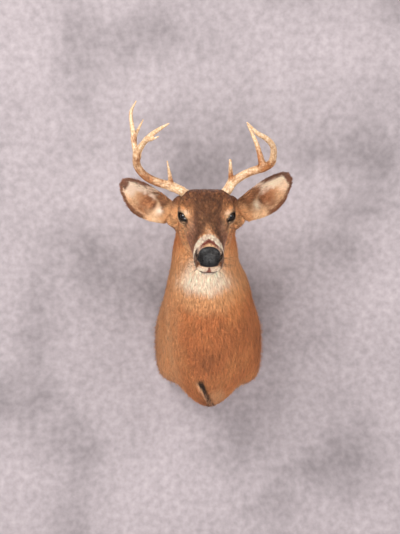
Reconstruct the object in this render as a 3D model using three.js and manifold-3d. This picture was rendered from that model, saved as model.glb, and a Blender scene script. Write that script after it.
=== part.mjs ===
// Whitetail buck shoulder mount, life size, hung flat on a wall.
// Millimetres. +Z up, the wall is the plane y = 0, the deer looks along -Y and its right side is -X.
// The origin is the middle of the backboard's rear face. Surfaces are the tips of the coat.
import * as THREE from "three";
import Module from "manifold-3d";
import { mergeVertices } from "three/addons/utils/BufferGeometryUtils.js";

const wasm = await Module();
wasm.setup();

// ---- Driving dimensions -------------------------------------------------------------------

const GAP = 0.3; // clearance between neighbouring solids
const NOSE = new THREE.Vector3(-3.4, -530, 168.6); // tip of the nose at the line of the mouth
const PITCH = THREE.MathUtils.degToRad(20); // the face points this far below the horizontal
const YAW = THREE.MathUtils.degToRad(1.8); // and is turned this far towards the deer's left
const HEAD_LENGTH = 312;
const POLL_ROUNDING = 38;

const NOSE_PAD = { depth: 11, foot: -6 }; // how far back it reaches and its lower edge
const MOUTH = { front: -25, back: 240, rear: 2 }; // heights of its line at the nose and far back

const EYE = {
  out: 50, back: 196, up: 54, radius: 17,
  gaze: [0.8, 0.6, 0.1], // where it looks: out, forward and up
  opening: [14.5, 10], // half-sizes of the gap between the lids
};

const BOARD = { thickness: 19, halfWidth: 118, top: 128, bottom: -134 };
const HANGER = {
  width: 46, height: 30, plate: 1.6, up: 78, recessWidth: 34, recessHeight: 44, recessDepth: 9,
};

// Sections of the head, at distances behind the nose tip. top, bottom and mid are heights above
// the line of the mouth; half is the half-width at mid; the two powers say how square it is.
const HEAD_SECTIONS = [
  { at: 0, top: 33, bottom: 0, mid: 18, half: 17, upper: 2.4, lower: 2.2 },
  { at: 6, top: 38, bottom: -12, mid: 15, half: 24, upper: 2.4, lower: 2.0 },
  { at: 15, top: 42, bottom: -26, mid: 11, half: 30, upper: 2.2, lower: 1.9 },
  { at: 26, top: 45, bottom: -35, mid: 7, half: 34.5, upper: 2.1, lower: 1.9 },
  { at: 42, top: 48, bottom: -41, mid: 6, half: 36.5, upper: 2.0, lower: 1.9 },
  { at: 70, top: 53, bottom: -44, mid: 7, half: 37, upper: 1.9, lower: 1.9 },
  { at: 100, top: 59, bottom: -46, mid: 10, half: 39, upper: 1.9, lower: 1.9 },
  { at: 130, top: 67, bottom: -49, mid: 14, half: 43, upper: 1.9, lower: 1.9 },
  { at: 160, top: 80, bottom: -53, mid: 24, half: 48, upper: 2.0, lower: 1.8 },
  { at: 188, top: 97, bottom: -58, mid: 40, half: 57, upper: 2.2, lower: 1.7 },
  { at: 215, top: 107, bottom: -63, mid: 50, half: 68, upper: 3.0, lower: 1.7 },
  { at: 240, top: 109.5, bottom: -64, mid: 50, half: 66, upper: 3.5, lower: 1.8 },
  { at: 265, top: 105, bottom: -57, mid: 48, half: 62, upper: 3.4, lower: 1.9 },
  { at: 290, top: 95, bottom: -42, mid: 42, half: 55, upper: 2.8, lower: 2.0 },
  { at: HEAD_LENGTH, top: 80, bottom: -18, mid: 36, half: 45, upper: 2.2, lower: 2.0 },
];

// Swellings of the head, as ellipsoids on each side: place and half-sizes along out, back and up.
const HEAD_BULGES = [
  { out: 50, back: 211, up: 61, size: [19, 30, 25] }, // brow and cheekbone round the eye
  { out: 60, back: 268, up: 48, size: [30, 27, 41] }, // root of the ear
  { out: 78, back: 264, up: 27, size: [23, 25, 21] }, // thick hair under the ear
];

// Neck: middle of its section in the plane of symmetry, half-depth there and half-width.
const NECK = [
  { at: 0, x: -9.5, y: -262, z: 276, depth: 73, width: 66 },
  { at: 1, x: -11, y: -258, z: 237, depth: 87, width: 76 },
  { at: 2, x: -12, y: -245, z: 188, depth: 105, width: 85 },
  { at: 3, x: -12.5, y: -224, z: 140, depth: 127, width: 90 },
  { at: 4, x: -8.5, y: -194, z: 92, depth: 154, width: 104 },
  { at: 5, x: -4, y: -172, z: 55, depth: 170, width: 117 },
];

// Trunk, as rounded lumps: place, half-sizes along X, Y and Z, and how square they are from the front.
const TRUNK = [
  { at: [-2, -130, -25], size: [115, 196, 177], above: 2, below: 1.75 }, // chest and brisket
  { at: [62, -72, -26], size: [76, 152, 122], above: 2.3, below: 3.8 }, // left shoulder
  { at: [-66, -72, -18], size: [77, 152, 124], above: 2.3, below: 3.8 }, // right shoulder
  { at: [-4, -40, 58], size: [96, 112, 90], above: 2, below: 2 }, // withers, against the wall
];
const BLEND = 36; // radius of the fillets between these
const THROAT_BLEND = 34; // and between the head and the neck

// Sections of the animal from the wall to the throat: the middle of each and the angle of its
// plane below the horizontal, seen from the side.
const SPINE = [
  { at: 0, x: 0, y: -2, z: -12, slope: 90 },
  { at: 1, x: 0, y: -52, z: -8, slope: 84 },
  { at: 2, x: -2, y: -118, z: 26, slope: 54 },
  { at: 3, x: -5, y: -176, z: 87, slope: 26 }, // from the breast to the withers
  { at: 4, x: -10, y: -226, z: 150, slope: 27 },
  { at: 5, x: -11, y: -257, z: 205, slope: 38 },
  { at: 6, x: -10, y: -284, z: 249, slope: 52 }, // from the throat to the nape
];
const BREAST_CUT = 3; // the sections between the shoulders, the neck and the head
const THROAT_CUT = 6;

const EAR = {
  wall: 5.5,
  joined: 18, // this much of its length belongs to the head
  // along the ear: how far its middle is below the line from root to tip, its half-width, and
  // the heights of its back and of its hollow
  stations: [
    { at: 0, drop: 8, half: 27, back: 24, front: 22 },
    { at: 0.12, drop: 11, half: 33, back: 29, front: 17 },
    { at: 0.27, drop: 14, half: 38.5, back: 31, front: 0 },
    { at: 0.42, drop: 15.5, half: 42, back: 31, front: -19 },
    { at: 0.58, drop: 15, half: 42, back: 28, front: -22 },
    { at: 0.72, drop: 12, half: 36.5, back: 21, front: -16 },
    { at: 0.84, drop: 7, half: 28, back: 12.5, front: -8.5 },
    { at: 0.93, drop: 4, half: 19.5, back: 6.5, front: -3 },
    { at: 1, drop: 1, half: 6, back: 1.6, front: 1 },
  ],
  right: { root: [-80, -292, 298], tip: [-220, -304, 378], facing: [-0.2, -1, -0.12] },
  left: { root: [60, -292, 302], tip: [198, -304, 393], facing: [0.2, -1, -0.12] },
};

// Antlers: points of each centre line and the radius at both ends of it.
const ANTLERS = {
  right: {
    beam: {
      points: [[-44, -318, 332], [-66, -316, 349], [-96, -312, 364], [-128, -318, 373],
        [-159, -332, 388], [-177, -354, 411], [-176, -378, 435], [-160, -405, 459],
        [-138, -430, 478], [-118, -447, 489], [-97, -462, 499]],
      radii: [12.5, 11.5, 11, 10.5, 10, 9.5, 9.5, 7, 6, 4.6, 1.6],
    },
    brow_tine: {
      points: [[-95, -313, 362], [-99, -326, 390], [-105, -334, 424]],
      radii: [7.5, 4.6, 1.6],
    },
    back_tine: {
      points: [[-176, -376, 432], [-183, -374, 462], [-188, -366, 500], [-192, -358, 540],
        [-180, -352, 568]],
      radii: [8.2, 6.8, 5.6, 4.6, 1.6],
    },
    tine_fork: {
      points: [[-184, -372, 474], [-175, -356, 498], [-163, -346, 524]],
      radii: [5, 3.8, 1.4],
    },
    spur: {
      points: [[-150, -417, 467], [-138, -430, 466], [-122, -442, 471]],
      radii: [4.8, 3.8, 1.5],
    },
  },
  left: {
    beam: {
      points: [[24, -318, 332], [42, -316, 353], [55, -313, 373], [76, -314, 388],
        [103, -324, 400], [129, -340, 407], [147, -360, 416], [152, -384, 435],
        [148, -404, 454], [133, -423, 468], [110, -441, 479], [85, -462, 501]],
      radii: [12.5, 11.5, 11, 10.5, 10, 10.5, 9.5, 8.2, 7.4, 6.6, 5.4, 1.8],
    },
    brow_tine: {
      points: [[52, -312, 374], [50, -326, 402], [49, -334, 426]],
      radii: [7.5, 5, 3.4], // its tip is broken off
    },
    back_tine: {
      points: [[128, -340, 410], [120, -350, 441], [112, -352, 466], [103, -350, 487], [91, -345, 511]],
      radii: [9.5, 6.4, 5.4, 4.2, 1.7],
    },
  },
};
const BURR = { radius: 19.5, height: 13 };

const COLOURS = {
  russet: 0xa9734a, tan: 0xb9805a, brown: 0x6f4f3a, black: 0x17181a, glass: 0x120c08,
  antler: 0xd8bf94, plywood: 0xc9a877, steel: 0x8d9094,
};

// ---- Small helpers ------------------------------------------------------------------------

const smooth = (t) => t * t * (3 - 2 * t);
const snap = (value) => Math.round(value * 1e5) / 1e5; // so that both sides of a seam agree

// Value of one named size between the stations on either side.
function between(stations, at, name) {
  let i = 1;
  while (i < stations.length - 1 && stations[i].at < at) i++;
  const a = stations[i - 1];
  const b = stations[i];
  const t = THREE.MathUtils.clamp((at - a.at) / (b.at - a.at), 0, 1);
  const before = stations[Math.max(i - 2, 0)];
  const after = stations[Math.min(i + 1, stations.length - 1)];
  const slopeA = (b[name] - before[name]) / (b.at - before.at);
  const slopeB = (after[name] - a[name]) / (after.at - a.at);
  const span = b.at - a.at;
  const t2 = t * t;
  const t3 = t2 * t;
  return a[name] * (2 * t3 - 3 * t2 + 1) + b[name] * (3 * t2 - 2 * t3)
    + span * (slopeA * (t3 - 2 * t2 + t) + slopeB * (t3 - t2));
}

// Smallest of two fields with a round fillet between them.
function blended(a, b, radius) {
  const h = Math.max(radius - Math.abs(a - b), 0) / radius;
  return Math.min(a, b) - (h * h * radius) / 4;
}

function toSolid(geometry) {
  geometry.deleteAttribute("normal");
  geometry.deleteAttribute("uv");
  const merged = mergeVertices(geometry, 1e-4);
  const triVerts = new Uint32Array(merged.index.array);
  const build = () => new wasm.Manifold(new wasm.Mesh({
    numProp: 3,
    vertProperties: merged.attributes.position.array,
    triVerts,
  }));
  const solid = build();
  if (solid.volume() > 0) return solid;
  for (let i = 0; i < triVerts.length; i += 3) {
    [triVerts[i + 1], triVerts[i + 2]] = [triVerts[i + 2], triVerts[i + 1]];
  }
  return build();
}

const biggest = (solid) => solid.decompose().sort((a, b) => b.volume() - a.volume())[0];

function toMesh(name, solid, colour, roughness, metalness = 0) {
  const { numProp, vertProperties, triVerts } = biggest(solid.simplify(0.1)).getMesh();
  const position = new Float32Array((vertProperties.length / numProp) * 3);
  for (let i = 0; i < position.length / 3; i++) {
    position.set(vertProperties.subarray(i * numProp, i * numProp + 3), i * 3);
  }
  const geometry = new THREE.BufferGeometry();
  geometry.setAttribute("position", new THREE.BufferAttribute(position, 3));
  geometry.setIndex(new THREE.BufferAttribute(triVerts, 1));
  const material = new THREE.MeshStandardMaterial({ color: colour, roughness, metalness });
  const mesh = new THREE.Mesh(geometry, material);
  mesh.name = name;
  return mesh;
}

// A closed tube of rings: place(t, angle, r) gives the point at t along it, where r is 0 in the
// middle of an end and 1 on the wall.
function ringSolid(rings, sides, place) {
  const geometry = new THREE.CylinderGeometry(1, 1, 1, sides, rings);
  const position = geometry.attributes.position;
  for (let i = 0; i < position.count; i++) {
    const x = position.getX(i);
    const z = position.getZ(i);
    const radius = Math.hypot(x, z) > 0.5 ? 1 : 0;
    const point = place(snap(0.5 - position.getY(i)), radius ? snap(Math.atan2(z, x)) : 0, radius);
    position.setXYZ(i, point.x, point.y, point.z);
  }
  return toSolid(geometry);
}

// ---- Head ---------------------------------------------------------------------------------

// Its own directions: out to the deer's left, forward to the nose, and up square to both.
const OUT = new THREE.Vector3(Math.cos(YAW), Math.sin(YAW), 0);
const FORWARD = new THREE.Vector3(0, -1, 0)
  .applyAxisAngle(new THREE.Vector3(1, 0, 0), PITCH)
  .applyAxisAngle(new THREE.Vector3(0, 0, 1), YAW);
const UP = new THREE.Vector3().crossVectors(FORWARD, OUT);

const headPoint = (out, back, up) => NOSE.clone()
  .addScaledVector(OUT, out)
  .addScaledVector(FORWARD, -back)
  .addScaledVector(UP, up);

// Distance from a head section's rim, measured from its middle, in the head's own directions.
function sectionField(out, back, up) {
  const at = THREE.MathUtils.clamp(back, 0, HEAD_LENGTH);
  const size = (name) => between(HEAD_SECTIONS, at, name);
  const mid = size("mid");
  const above = up > mid;
  const rise = above ? (up - mid) / (size("top") - mid) : (mid - up) / (mid - size("bottom"));
  const power = above ? size("upper") : size("lower");
  const sum = Math.pow(Math.abs(out) / size("half"), power) + Math.pow(rise, power);
  const share = Math.pow(sum, 1 / power);
  const reach = Math.hypot(out, up - mid);
  const field = reach * (1 - 1 / Math.max(share, 1e-6));
  const beyond = Math.max(back - HEAD_LENGTH, 0);
  return beyond > 0 ? Math.hypot(Math.max(field + POLL_ROUNDING, 0), beyond) - POLL_ROUNDING : field;
}

function ellipsoidField(dx, dy, dz, size, power = 2) {
  const flat = Math.pow(Math.abs(dx / size[0]), power) + Math.pow(Math.abs(dz / size[2]), power);
  const share = Math.hypot(Math.pow(flat, 1 / power), dy / size[1]);
  return Math.hypot(dx, dy, dz) * (1 - 1 / Math.max(share, 1e-6));
}

function headField(out, back, up) {
  let field = sectionField(out, back, up);
  for (const bulge of HEAD_BULGES) {
    const own = ellipsoidField(Math.abs(out) - bulge.out, back - bulge.back, up - bulge.up, bulge.size);
    field = blended(field, own, 14);
  }
  return field;
}

// Distance along a ray from inside to where the field turns positive.
function reachOf(field, furthest) {
  let low = 0;
  let high = furthest;
  for (let step = 4; step < furthest; step += 4) {
    if (field(step) > 0) {
      high = step;
      break;
    }
    low = step;
  }
  for (let i = 0; i < 24; i++) {
    const middle = (low + high) / 2;
    if (field(middle) > 0) high = middle;
    else low = middle;
  }
  return (low + high) / 2;
}

// Position in the head's own directions: out to the left, back from the nose tip, and up.
function inHead(p) {
  const d = p.clone().sub(NOSE);
  return [d.dot(OUT), -d.dot(FORWARD), d.dot(UP)];
}

// What is taken out of the hide in front of an eye: an oval tunnel along its gaze.
function lidOpening(sign) {
  const [out, forward, up] = EYE.gaze;
  const gaze = OUT.clone().multiplyScalar(sign * out);
  gaze.addScaledVector(FORWARD, forward).addScaledVector(UP, up).normalize();
  const upright = UP.clone().addScaledVector(gaze, -UP.dot(gaze)).normalize();
  const level = new THREE.Vector3().crossVectors(gaze, upright);
  const length = 40;
  const middle = headPoint(sign * EYE.out, EYE.back, EYE.up).addScaledVector(gaze, length / 2);
  const turn = new THREE.Matrix4().makeBasis(level, gaze, upright.clone().negate()).setPosition(middle);
  const oval = new THREE.CylinderGeometry(1, 1, length, 18).scale(EYE.opening[0], 1, EYE.opening[1]);
  return placed(oval, turn);
}

// Upward normal of the flat cut along the line of the mouth.
function mouthNormal() {
  const line = headPoint(0, MOUTH.back, MOUTH.rear).sub(headPoint(0, 0, MOUTH.front));
  const normal = new THREE.Vector3().crossVectors(OUT, line);
  return normal.z < 0 ? normal.negate() : normal;
}

// ---- Neck and trunk -----------------------------------------------------------------------

const neckLinks = [];
for (let at = 0; at <= NECK.length - 1; at += 0.2) {
  const link = {};
  for (const name of ["x", "y", "z", "depth", "width"]) link[name] = between(NECK, at, name);
  neckLinks.push(link);
}

function neckField(p) {
  let field = Infinity;
  for (const { x, y, z, depth, width } of neckLinks) {
    field = Math.min(field, Math.hypot(((p.x - x) * depth) / width, p.y - y, p.z - z) - depth);
  }
  return field;
}

function hideField(p) {
  let field = neckField(p);
  for (const { at, size, above, below } of TRUNK) {
    const dz = p.z - at[2];
    const own = ellipsoidField(p.x - at[0], p.y - at[1], dz, size, dz > 0 ? above : below);
    field = blended(field, own, BLEND);
  }
  return blended(field, headField(...inHead(p)), THROAT_BLEND);
}

// Skin of the animal through a run of sections. frame(t) gives the middle of a section, its
// sideways direction and its direction towards the front or the throat.
function hideSolid(rings, sides, frame) {
  const point = new THREE.Vector3();
  return ringSolid(rings, sides, (t, angle, radius) => {
    const { middle, across, down } = frame(t);
    const along = across.clone().multiplyScalar(Math.cos(angle)).addScaledVector(down, Math.sin(angle));
    const reach = radius * reachOf((r) => hideField(point.copy(middle).addScaledVector(along, r)), 270);
    return middle.clone().addScaledVector(along, reach);
  });
}

// Middle and direction of the section at a place along the spine.
function spineSection(at) {
  const slope = THREE.MathUtils.degToRad(between(SPINE, at, "slope"));
  const middle = new THREE.Vector3(...["x", "y", "z"].map((name) => between(SPINE, at, name)));
  return {
    middle,
    across: new THREE.Vector3(1, 0, 0),
    down: new THREE.Vector3(0, -Math.cos(slope), -Math.sin(slope)),
    ahead: new THREE.Vector3(0, -Math.sin(slope), Math.cos(slope)), // along the spine, to the head
  };
}

// Keeps what lies ahead of a section of the spine (or behind it), short of it by half a gap.
function trimAt(solid, at, keepAhead) {
  const { middle, ahead } = spineSection(at);
  const normal = keepAhead ? ahead : ahead.negate();
  return solid.trimByPlane(normal.toArray(), normal.dot(middle) + GAP / 2);
}

// Neck or shoulders, from one place on the spine to another.
function spineSolid(from, to, rings, sides) {
  return hideSolid(rings, sides, (t) => spineSection(THREE.MathUtils.lerp(from, to, t)));
}

// Head: sections square to its own length from the nose to the throat, then fanning round a
// line under the throat until they reach the neck.
const FAN_REACH = 120; // from the middle of the neck's last section down to that line

function headSolid() {
  const last = spineSection(THROAT_CUT);
  const fanPoint = last.middle.clone().addScaledVector(last.down, FAN_REACH);
  const [, square, below] = inHead(fanPoint);
  const firstReach = between(HEAD_SECTIONS, square, "mid") - below;
  const firstSlope = Math.PI / 2 + PITCH;
  const lastSlope = THREE.MathUtils.degToRad(SPINE.at(-1).slope);
  return hideSolid(22, 28, (t) => {
    const back = square * Math.pow(Math.min(t / 0.55, 1), 1.25);
    const share = Math.max((t - 0.55) / 0.45, 0);
    if (share === 0) {
      const middle = headPoint(0, back, between(HEAD_SECTIONS, back, "mid"));
      return { middle, across: OUT, down: UP.clone().negate() };
    }
    const slope = THREE.MathUtils.lerp(firstSlope, lastSlope, share);
    const down = new THREE.Vector3(0, -Math.cos(slope), -Math.sin(slope));
    const reach = THREE.MathUtils.lerp(firstReach, FAN_REACH, share);
    const middle = fanPoint.clone().addScaledVector(down, -reach);
    return { middle, across: OUT.clone().lerp(last.across, share).normalize(), down };
  });
}

// ---- Cuts between the parts ---------------------------------------------------------------

// Splits a solid by a plane through a point; the first piece lies on the normal's side.
function splitAt(solid, point, normal) {
  const n = normal.clone().normalize();
  const height = n.dot(point);
  const ahead = solid.trimByPlane(n.toArray(), height + GAP / 2);
  return [ahead, solid.trimByPlane(n.negate().toArray(), GAP / 2 - height)];
}

function placed(geometry, matrix) {
  return toSolid(geometry.applyMatrix4(matrix));
}

// A block that takes in the nose pad: in front of the muzzle's hide and above the upper lip.
function padBlock(by) {
  const [wide, long, high] = [120, 60, 80];
  const middle = headPoint(0, NOSE_PAD.depth + by - long / 2, NOSE_PAD.foot - by + high / 2);
  const turn = new THREE.Matrix4().makeBasis(OUT, FORWARD, UP).setPosition(middle);
  return placed(new THREE.BoxGeometry(wide, long, high), turn);
}

// ---- Eyes ---------------------------------------------------------------------------------

// An eyeball, and the socket it sits in with the gap between the lids.
function eyePieces(side) {
  const sign = side === "right" ? -1 : 1;
  const place = new THREE.Matrix4().setPosition(headPoint(sign * EYE.out, EYE.back, EYE.up));
  const ball = (radius) => placed(new THREE.SphereGeometry(radius, 16, 9), place);
  return { ball: ball(EYE.radius), socket: ball(EYE.radius + GAP).add(lidOpening(sign)) };
}

// ---- Ears ---------------------------------------------------------------------------------

function earSolid(side) {
  const { root, tip, facing } = EAR[side];
  const base = new THREE.Vector3(...root);
  const length = base.distanceTo(new THREE.Vector3(...tip));
  const axis = new THREE.Vector3(...tip).sub(base).normalize();
  const front = new THREE.Vector3(...facing);
  front.addScaledVector(axis, -front.dot(axis)).normalize();
  const across = new THREE.Vector3().crossVectors(axis, front);
  if (across.z < 0) across.negate();
  const geometry = new THREE.SphereGeometry(1, 14, 18);
  const position = geometry.attributes.position;
  for (let i = 0; i < position.count; i++) {
    const y = position.getY(i);
    const girth = Math.sqrt(Math.max(1 - y * y, 0));
    const s = girth > 1e-6 ? snap(position.getX(i) / girth) : 0;
    const face = girth > 1e-6 ? snap(position.getZ(i) / girth) : 0;
    const at = Math.acos(THREE.MathUtils.clamp(y, -1, 1)) / Math.PI;
    const size = (name) => between(EAR.stations, at, name);
    const arch = 1 - s * s;
    const closing = Math.min(1, girth * 4); // rounds off the two ends
    const width = at < 0.5 ? closing : 1;
    const rim = EAR.wall * 0.5 * face * closing;
    const surface = face >= 0 ? size("front") : -size("back");
    const point = base.clone()
      .addScaledVector(axis, length * at)
      .addScaledVector(across, size("half") * s * width - size("drop"))
      .addScaledVector(front, surface * arch * width + rim);
    position.setXYZ(i, point.x, point.y, point.z);
  }
  return toSolid(geometry);
}

// An ear in two pieces: its root, which is one with the head, and the rest.
function earPieces(side, clearOf) {
  const root = new THREE.Vector3(...EAR[side].root);
  const axis = new THREE.Vector3(...EAR[side].tip).sub(root).normalize();
  const cut = root.addScaledVector(axis, EAR.joined);
  const [outer, inner] = splitAt(earSolid(side).subtract(clearOf), cut, axis);
  return { outer, inner };
}

// ---- Antlers ------------------------------------------------------------------------------

function branchSolid({ points, radii }, sides = 9) {
  const centres = points.map((p) => new THREE.Vector3(...p));
  const curve = new THREE.CatmullRomCurve3(centres, false, "centripetal");
  const rings = Math.round(points.length * 2);
  const frames = curve.computeFrenetFrames(rings, false);
  const radiusAt = (t) => {
    const place = t * (radii.length - 1);
    const i = Math.min(Math.floor(place), radii.length - 2);
    return THREE.MathUtils.lerp(radii[i], radii[i + 1], place - i);
  };
  return ringSolid(rings, sides, (t, angle, radius) => {
    const ring = Math.round(t * rings);
    const reach = radius * radiusAt(t);
    return curve.getPoint(t)
      .addScaledVector(frames.normals[ring], Math.cos(angle) * reach)
      .addScaledVector(frames.binormals[ring], Math.sin(angle) * reach);
  });
}

// The ring of rough bone round the foot of an antler.
function burrSolid(points, by = 0) {
  const from = new THREE.Vector3(...points[0]);
  const to = new THREE.Vector3(...points[1]);
  const along = to.clone().sub(from).normalize();
  const profile = [[0, -1], [0.72, -1], [1, -0.35], [1, 0.35], [0.72, 1], [0, 1]]
    .map(([r, h]) => new THREE.Vector2(r * (BURR.radius + by), h * (BURR.height / 2 + by)));
  const turn = new THREE.Quaternion().setFromUnitVectors(new THREE.Vector3(0, 1, 0), along);
  const middle = from.clone().lerp(to, 0.42);
  const place = new THREE.Matrix4().compose(middle, turn, new THREE.Vector3(1, 1, 1));
  return placed(new THREE.LatheGeometry(profile, 14), place);
}

// Grown a little, for cutting clearance round a piece.
function grown(branch, by) {
  return branchSolid({ points: branch.points, radii: branch.radii.map((r) => r + by * 1.1) });
}

// A beam is parted this far beyond the fork where its back tine rises.
const PAST_FORK = 11;

function forkCut(beam, tine) {
  const fork = new THREE.Vector3(...tine.points[0]);
  const points = beam.points.map((p) => new THREE.Vector3(...p));
  const distances = points.map((p) => p.distanceTo(fork));
  const nearest = distances.indexOf(Math.min(...distances));
  const along = points[nearest + 1].clone().sub(points[nearest]).normalize();
  return { point: points[nearest].clone().addScaledVector(along, PAST_FORK), along };
}

// The pieces of one antler, and the foot of it that is let into the head.
function antlerPieces(side) {
  const { beam, ...tines } = ANTLERS[side];
  const clear = grown(beam, GAP);
  const { point, along } = forkCut(beam, tines.back_tine);
  const [tipEnd, footEnd] = splitAt(branchSolid(beam), point, along);
  const pieces = { beam_tip: tipEnd, beam: footEnd.add(burrSolid(beam.points)) };
  for (const [name, branch] of Object.entries(tines)) {
    pieces[name] = branchSolid(branch).subtract(clear);
    if (name === "tine_fork") pieces[name] = pieces[name].subtract(grown(tines.back_tine, GAP));
  }
  return { pieces, foot: clear.add(burrSolid(beam.points, GAP)) };
}

// ---- Backboard and hanger -----------------------------------------------------------------

// Outline of the board: an egg, narrower at the top, with round corners.
function boardShape(margin) {
  const steps = 32;
  const points = [];
  for (let i = 0; i < steps; i++) {
    const angle = (i / steps) * 2 * Math.PI;
    const rise = Math.sin(angle);
    const power = 0.86;
    const x = Math.sign(Math.cos(angle)) * Math.pow(Math.abs(Math.cos(angle)), power);
    const z = Math.sign(rise) * Math.pow(Math.abs(rise), power);
    const half = (BOARD.halfWidth + margin) * (1 - 0.16 * smooth(Math.max(z, 0)));
    const height = z > 0 ? BOARD.top + margin : margin - BOARD.bottom;
    points.push(new THREE.Vector2(x * half, z * height));
  }
  return new THREE.Shape(points);
}

// A slab of a shape in the XZ plane, from y = front to y = rear.
function slab(shape, front, rear) {
  const depth = rear - front;
  const geometry = new THREE.ExtrudeGeometry(shape, { depth, bevelEnabled: false, curveSegments: 4 });
  return placed(geometry, new THREE.Matrix4().makeRotationX(Math.PI / 2)
    .premultiply(new THREE.Matrix4().makeTranslation(0, rear, 0)));
}

function rectangle(width, height, middle, corner) {
  const shape = new THREE.Shape();
  const w = width / 2;
  const h = height / 2;
  shape.moveTo(-w + corner, middle - h);
  shape.lineTo(w - corner, middle - h);
  shape.absarc(w - corner, middle - h + corner, corner, -Math.PI / 2, 0);
  shape.absarc(w - corner, middle + h - corner, corner, 0, Math.PI / 2);
  shape.absarc(-w + corner, middle + h - corner, corner, Math.PI / 2, Math.PI);
  shape.absarc(-w + corner, middle - h + corner, corner, Math.PI, 1.5 * Math.PI);
  return shape;
}

function boardSolid() {
  const mouth = rectangle(HANGER.recessWidth, HANGER.recessHeight, HANGER.up, 6);
  const recess = slab(mouth, -HANGER.recessDepth, 1);
  const seat = slab(
    rectangle(HANGER.width + 2 * GAP, HANGER.height / 2 + 2 * GAP, HANGER.up + HANGER.height / 2, 3),
    -HANGER.plate - GAP,
    1,
  );
  return slab(boardShape(0), -BOARD.thickness, 0).subtract(recess).subtract(seat);
}

// The steel strip across the top of the recess, under which a wall hook catches.
function hangerSolid() {
  const strip = rectangle(HANGER.width, HANGER.height / 2, HANGER.up + HANGER.height / 2, 3);
  return slab(strip, -HANGER.plate, 0);
}

// ---- The mount, part by part --------------------------------------------------------------

const group = new THREE.Group();
const SIDES = ["right", "left"];

function add(name, solid, colour, roughness = 0.9, metalness = 0) {
  group.add(toMesh(name, solid, colour, roughness, metalness));
}

// Neck and shoulders, with a pocket in the back for the board.
const neckEnds = spineSolid(BREAST_CUT, THROAT_CUT, 9, 32);
const neck = trimAt(trimAt(neckEnds, BREAST_CUT, true), THROAT_CUT, false);
const pocket = slab(boardShape(GAP), -BOARD.thickness - GAP, 5);
const shoulders = trimAt(spineSolid(0, BREAST_CUT, 12, 36), BREAST_CUT, false).subtract(pocket);
add("neck", neck, COLOURS.russet);
add("shoulders", biggest(shoulders), COLOURS.russet);

// The neck with a little more on every side, to keep the ears off it.
const neckClear = [[GAP, 0, 0], [-GAP, 0, 0], [0, 0, GAP], [0, -GAP, 0]]
  .map((step) => neck.translate(step))
  .reduce((all, one) => all.add(one), neck);

// Cuts what stands in the head and ears out of both, and adds it as its own pieces.
const headWhole = trimAt(headSolid(), THROAT_CUT, true);
const ears = {};
let skull = headWhole;
for (const side of SIDES) {
  const { outer, inner } = earPieces(side, neckClear);
  const { ball, socket } = eyePieces(side);
  const { pieces, foot } = antlerPieces(side);
  skull = skull.add(inner).subtract(socket).subtract(foot);
  ears[side] = outer.subtract(headWhole).subtract(foot);
  add(`eye_${side}`, ball, COLOURS.glass, 0.05);
  for (const [name, solid] of Object.entries(pieces)) {
    add(`antler_${side}_${name}`, biggest(solid), COLOURS.antler, 0.55);
  }
}

// The lower jaw is what lies below the mouth, and the nose pad is the front of what lies above.
const [upper, lower] = splitAt(skull, headPoint(0, 0, MOUTH.front), mouthNormal());
add("head", biggest(upper.subtract(padBlock(GAP))), COLOURS.brown);
add("lower_jaw", biggest(lower), COLOURS.tan);
add("nose", biggest(upper.intersect(padBlock(0))), COLOURS.black, 0.35);
for (const side of SIDES) add(`ear_${side}`, biggest(ears[side]), COLOURS.brown);

add("backboard", boardSolid(), COLOURS.plywood, 0.75);
add("hanger", hangerSolid(), COLOURS.steel, 0.35, 1);

export default group;
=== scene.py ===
"""Whitetail buck shoulder mount: hide, coat, nose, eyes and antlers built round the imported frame.

Shapes are worked out in millimetres, as in the part, and meshes are written in metres. +Z is up,
the wall is the plane y = 0, the deer looks along -Y and its right side is -X."""

import math
from functools import lru_cache

import bmesh
import bpy
import numpy as np
from bpy.props import FloatProperty, FloatVectorProperty, IntProperty, PointerProperty
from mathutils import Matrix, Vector


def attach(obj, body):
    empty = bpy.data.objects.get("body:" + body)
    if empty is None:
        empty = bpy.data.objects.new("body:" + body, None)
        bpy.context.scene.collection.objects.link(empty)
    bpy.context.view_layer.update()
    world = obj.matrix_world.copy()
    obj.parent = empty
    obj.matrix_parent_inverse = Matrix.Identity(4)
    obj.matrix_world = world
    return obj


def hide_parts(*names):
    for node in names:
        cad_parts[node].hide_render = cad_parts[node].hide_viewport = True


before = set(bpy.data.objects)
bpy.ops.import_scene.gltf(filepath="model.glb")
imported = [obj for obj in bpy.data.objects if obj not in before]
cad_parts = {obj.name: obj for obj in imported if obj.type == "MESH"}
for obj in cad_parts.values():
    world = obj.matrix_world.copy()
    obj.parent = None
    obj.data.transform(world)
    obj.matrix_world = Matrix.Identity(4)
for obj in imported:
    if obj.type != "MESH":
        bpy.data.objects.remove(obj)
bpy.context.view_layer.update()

bl_info = {
    "name": "Whitetail shoulder mount",
    "version": (1, 0, 0),
    "blender": (4, 5, 0),
    "location": "View3D > Sidebar > Shoulder mount",
    "description": "Hide, coat, nose, eyes, antlers and stage of a whitetail buck shoulder mount",
    "category": "Object",
}

MM = 0.001
FAR = 1e3  # a field's value where it is not worked out

# ---- Dimensions of the animal, in millimetres -----------------------------------------------

NOSE = np.array([-3.4, -530.0, 168.6])  # tip of the nose
PITCH, YAW = math.radians(20), math.radians(1.8)
HEAD_LENGTH = 312
POLL_ROUNDING = 38
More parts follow.
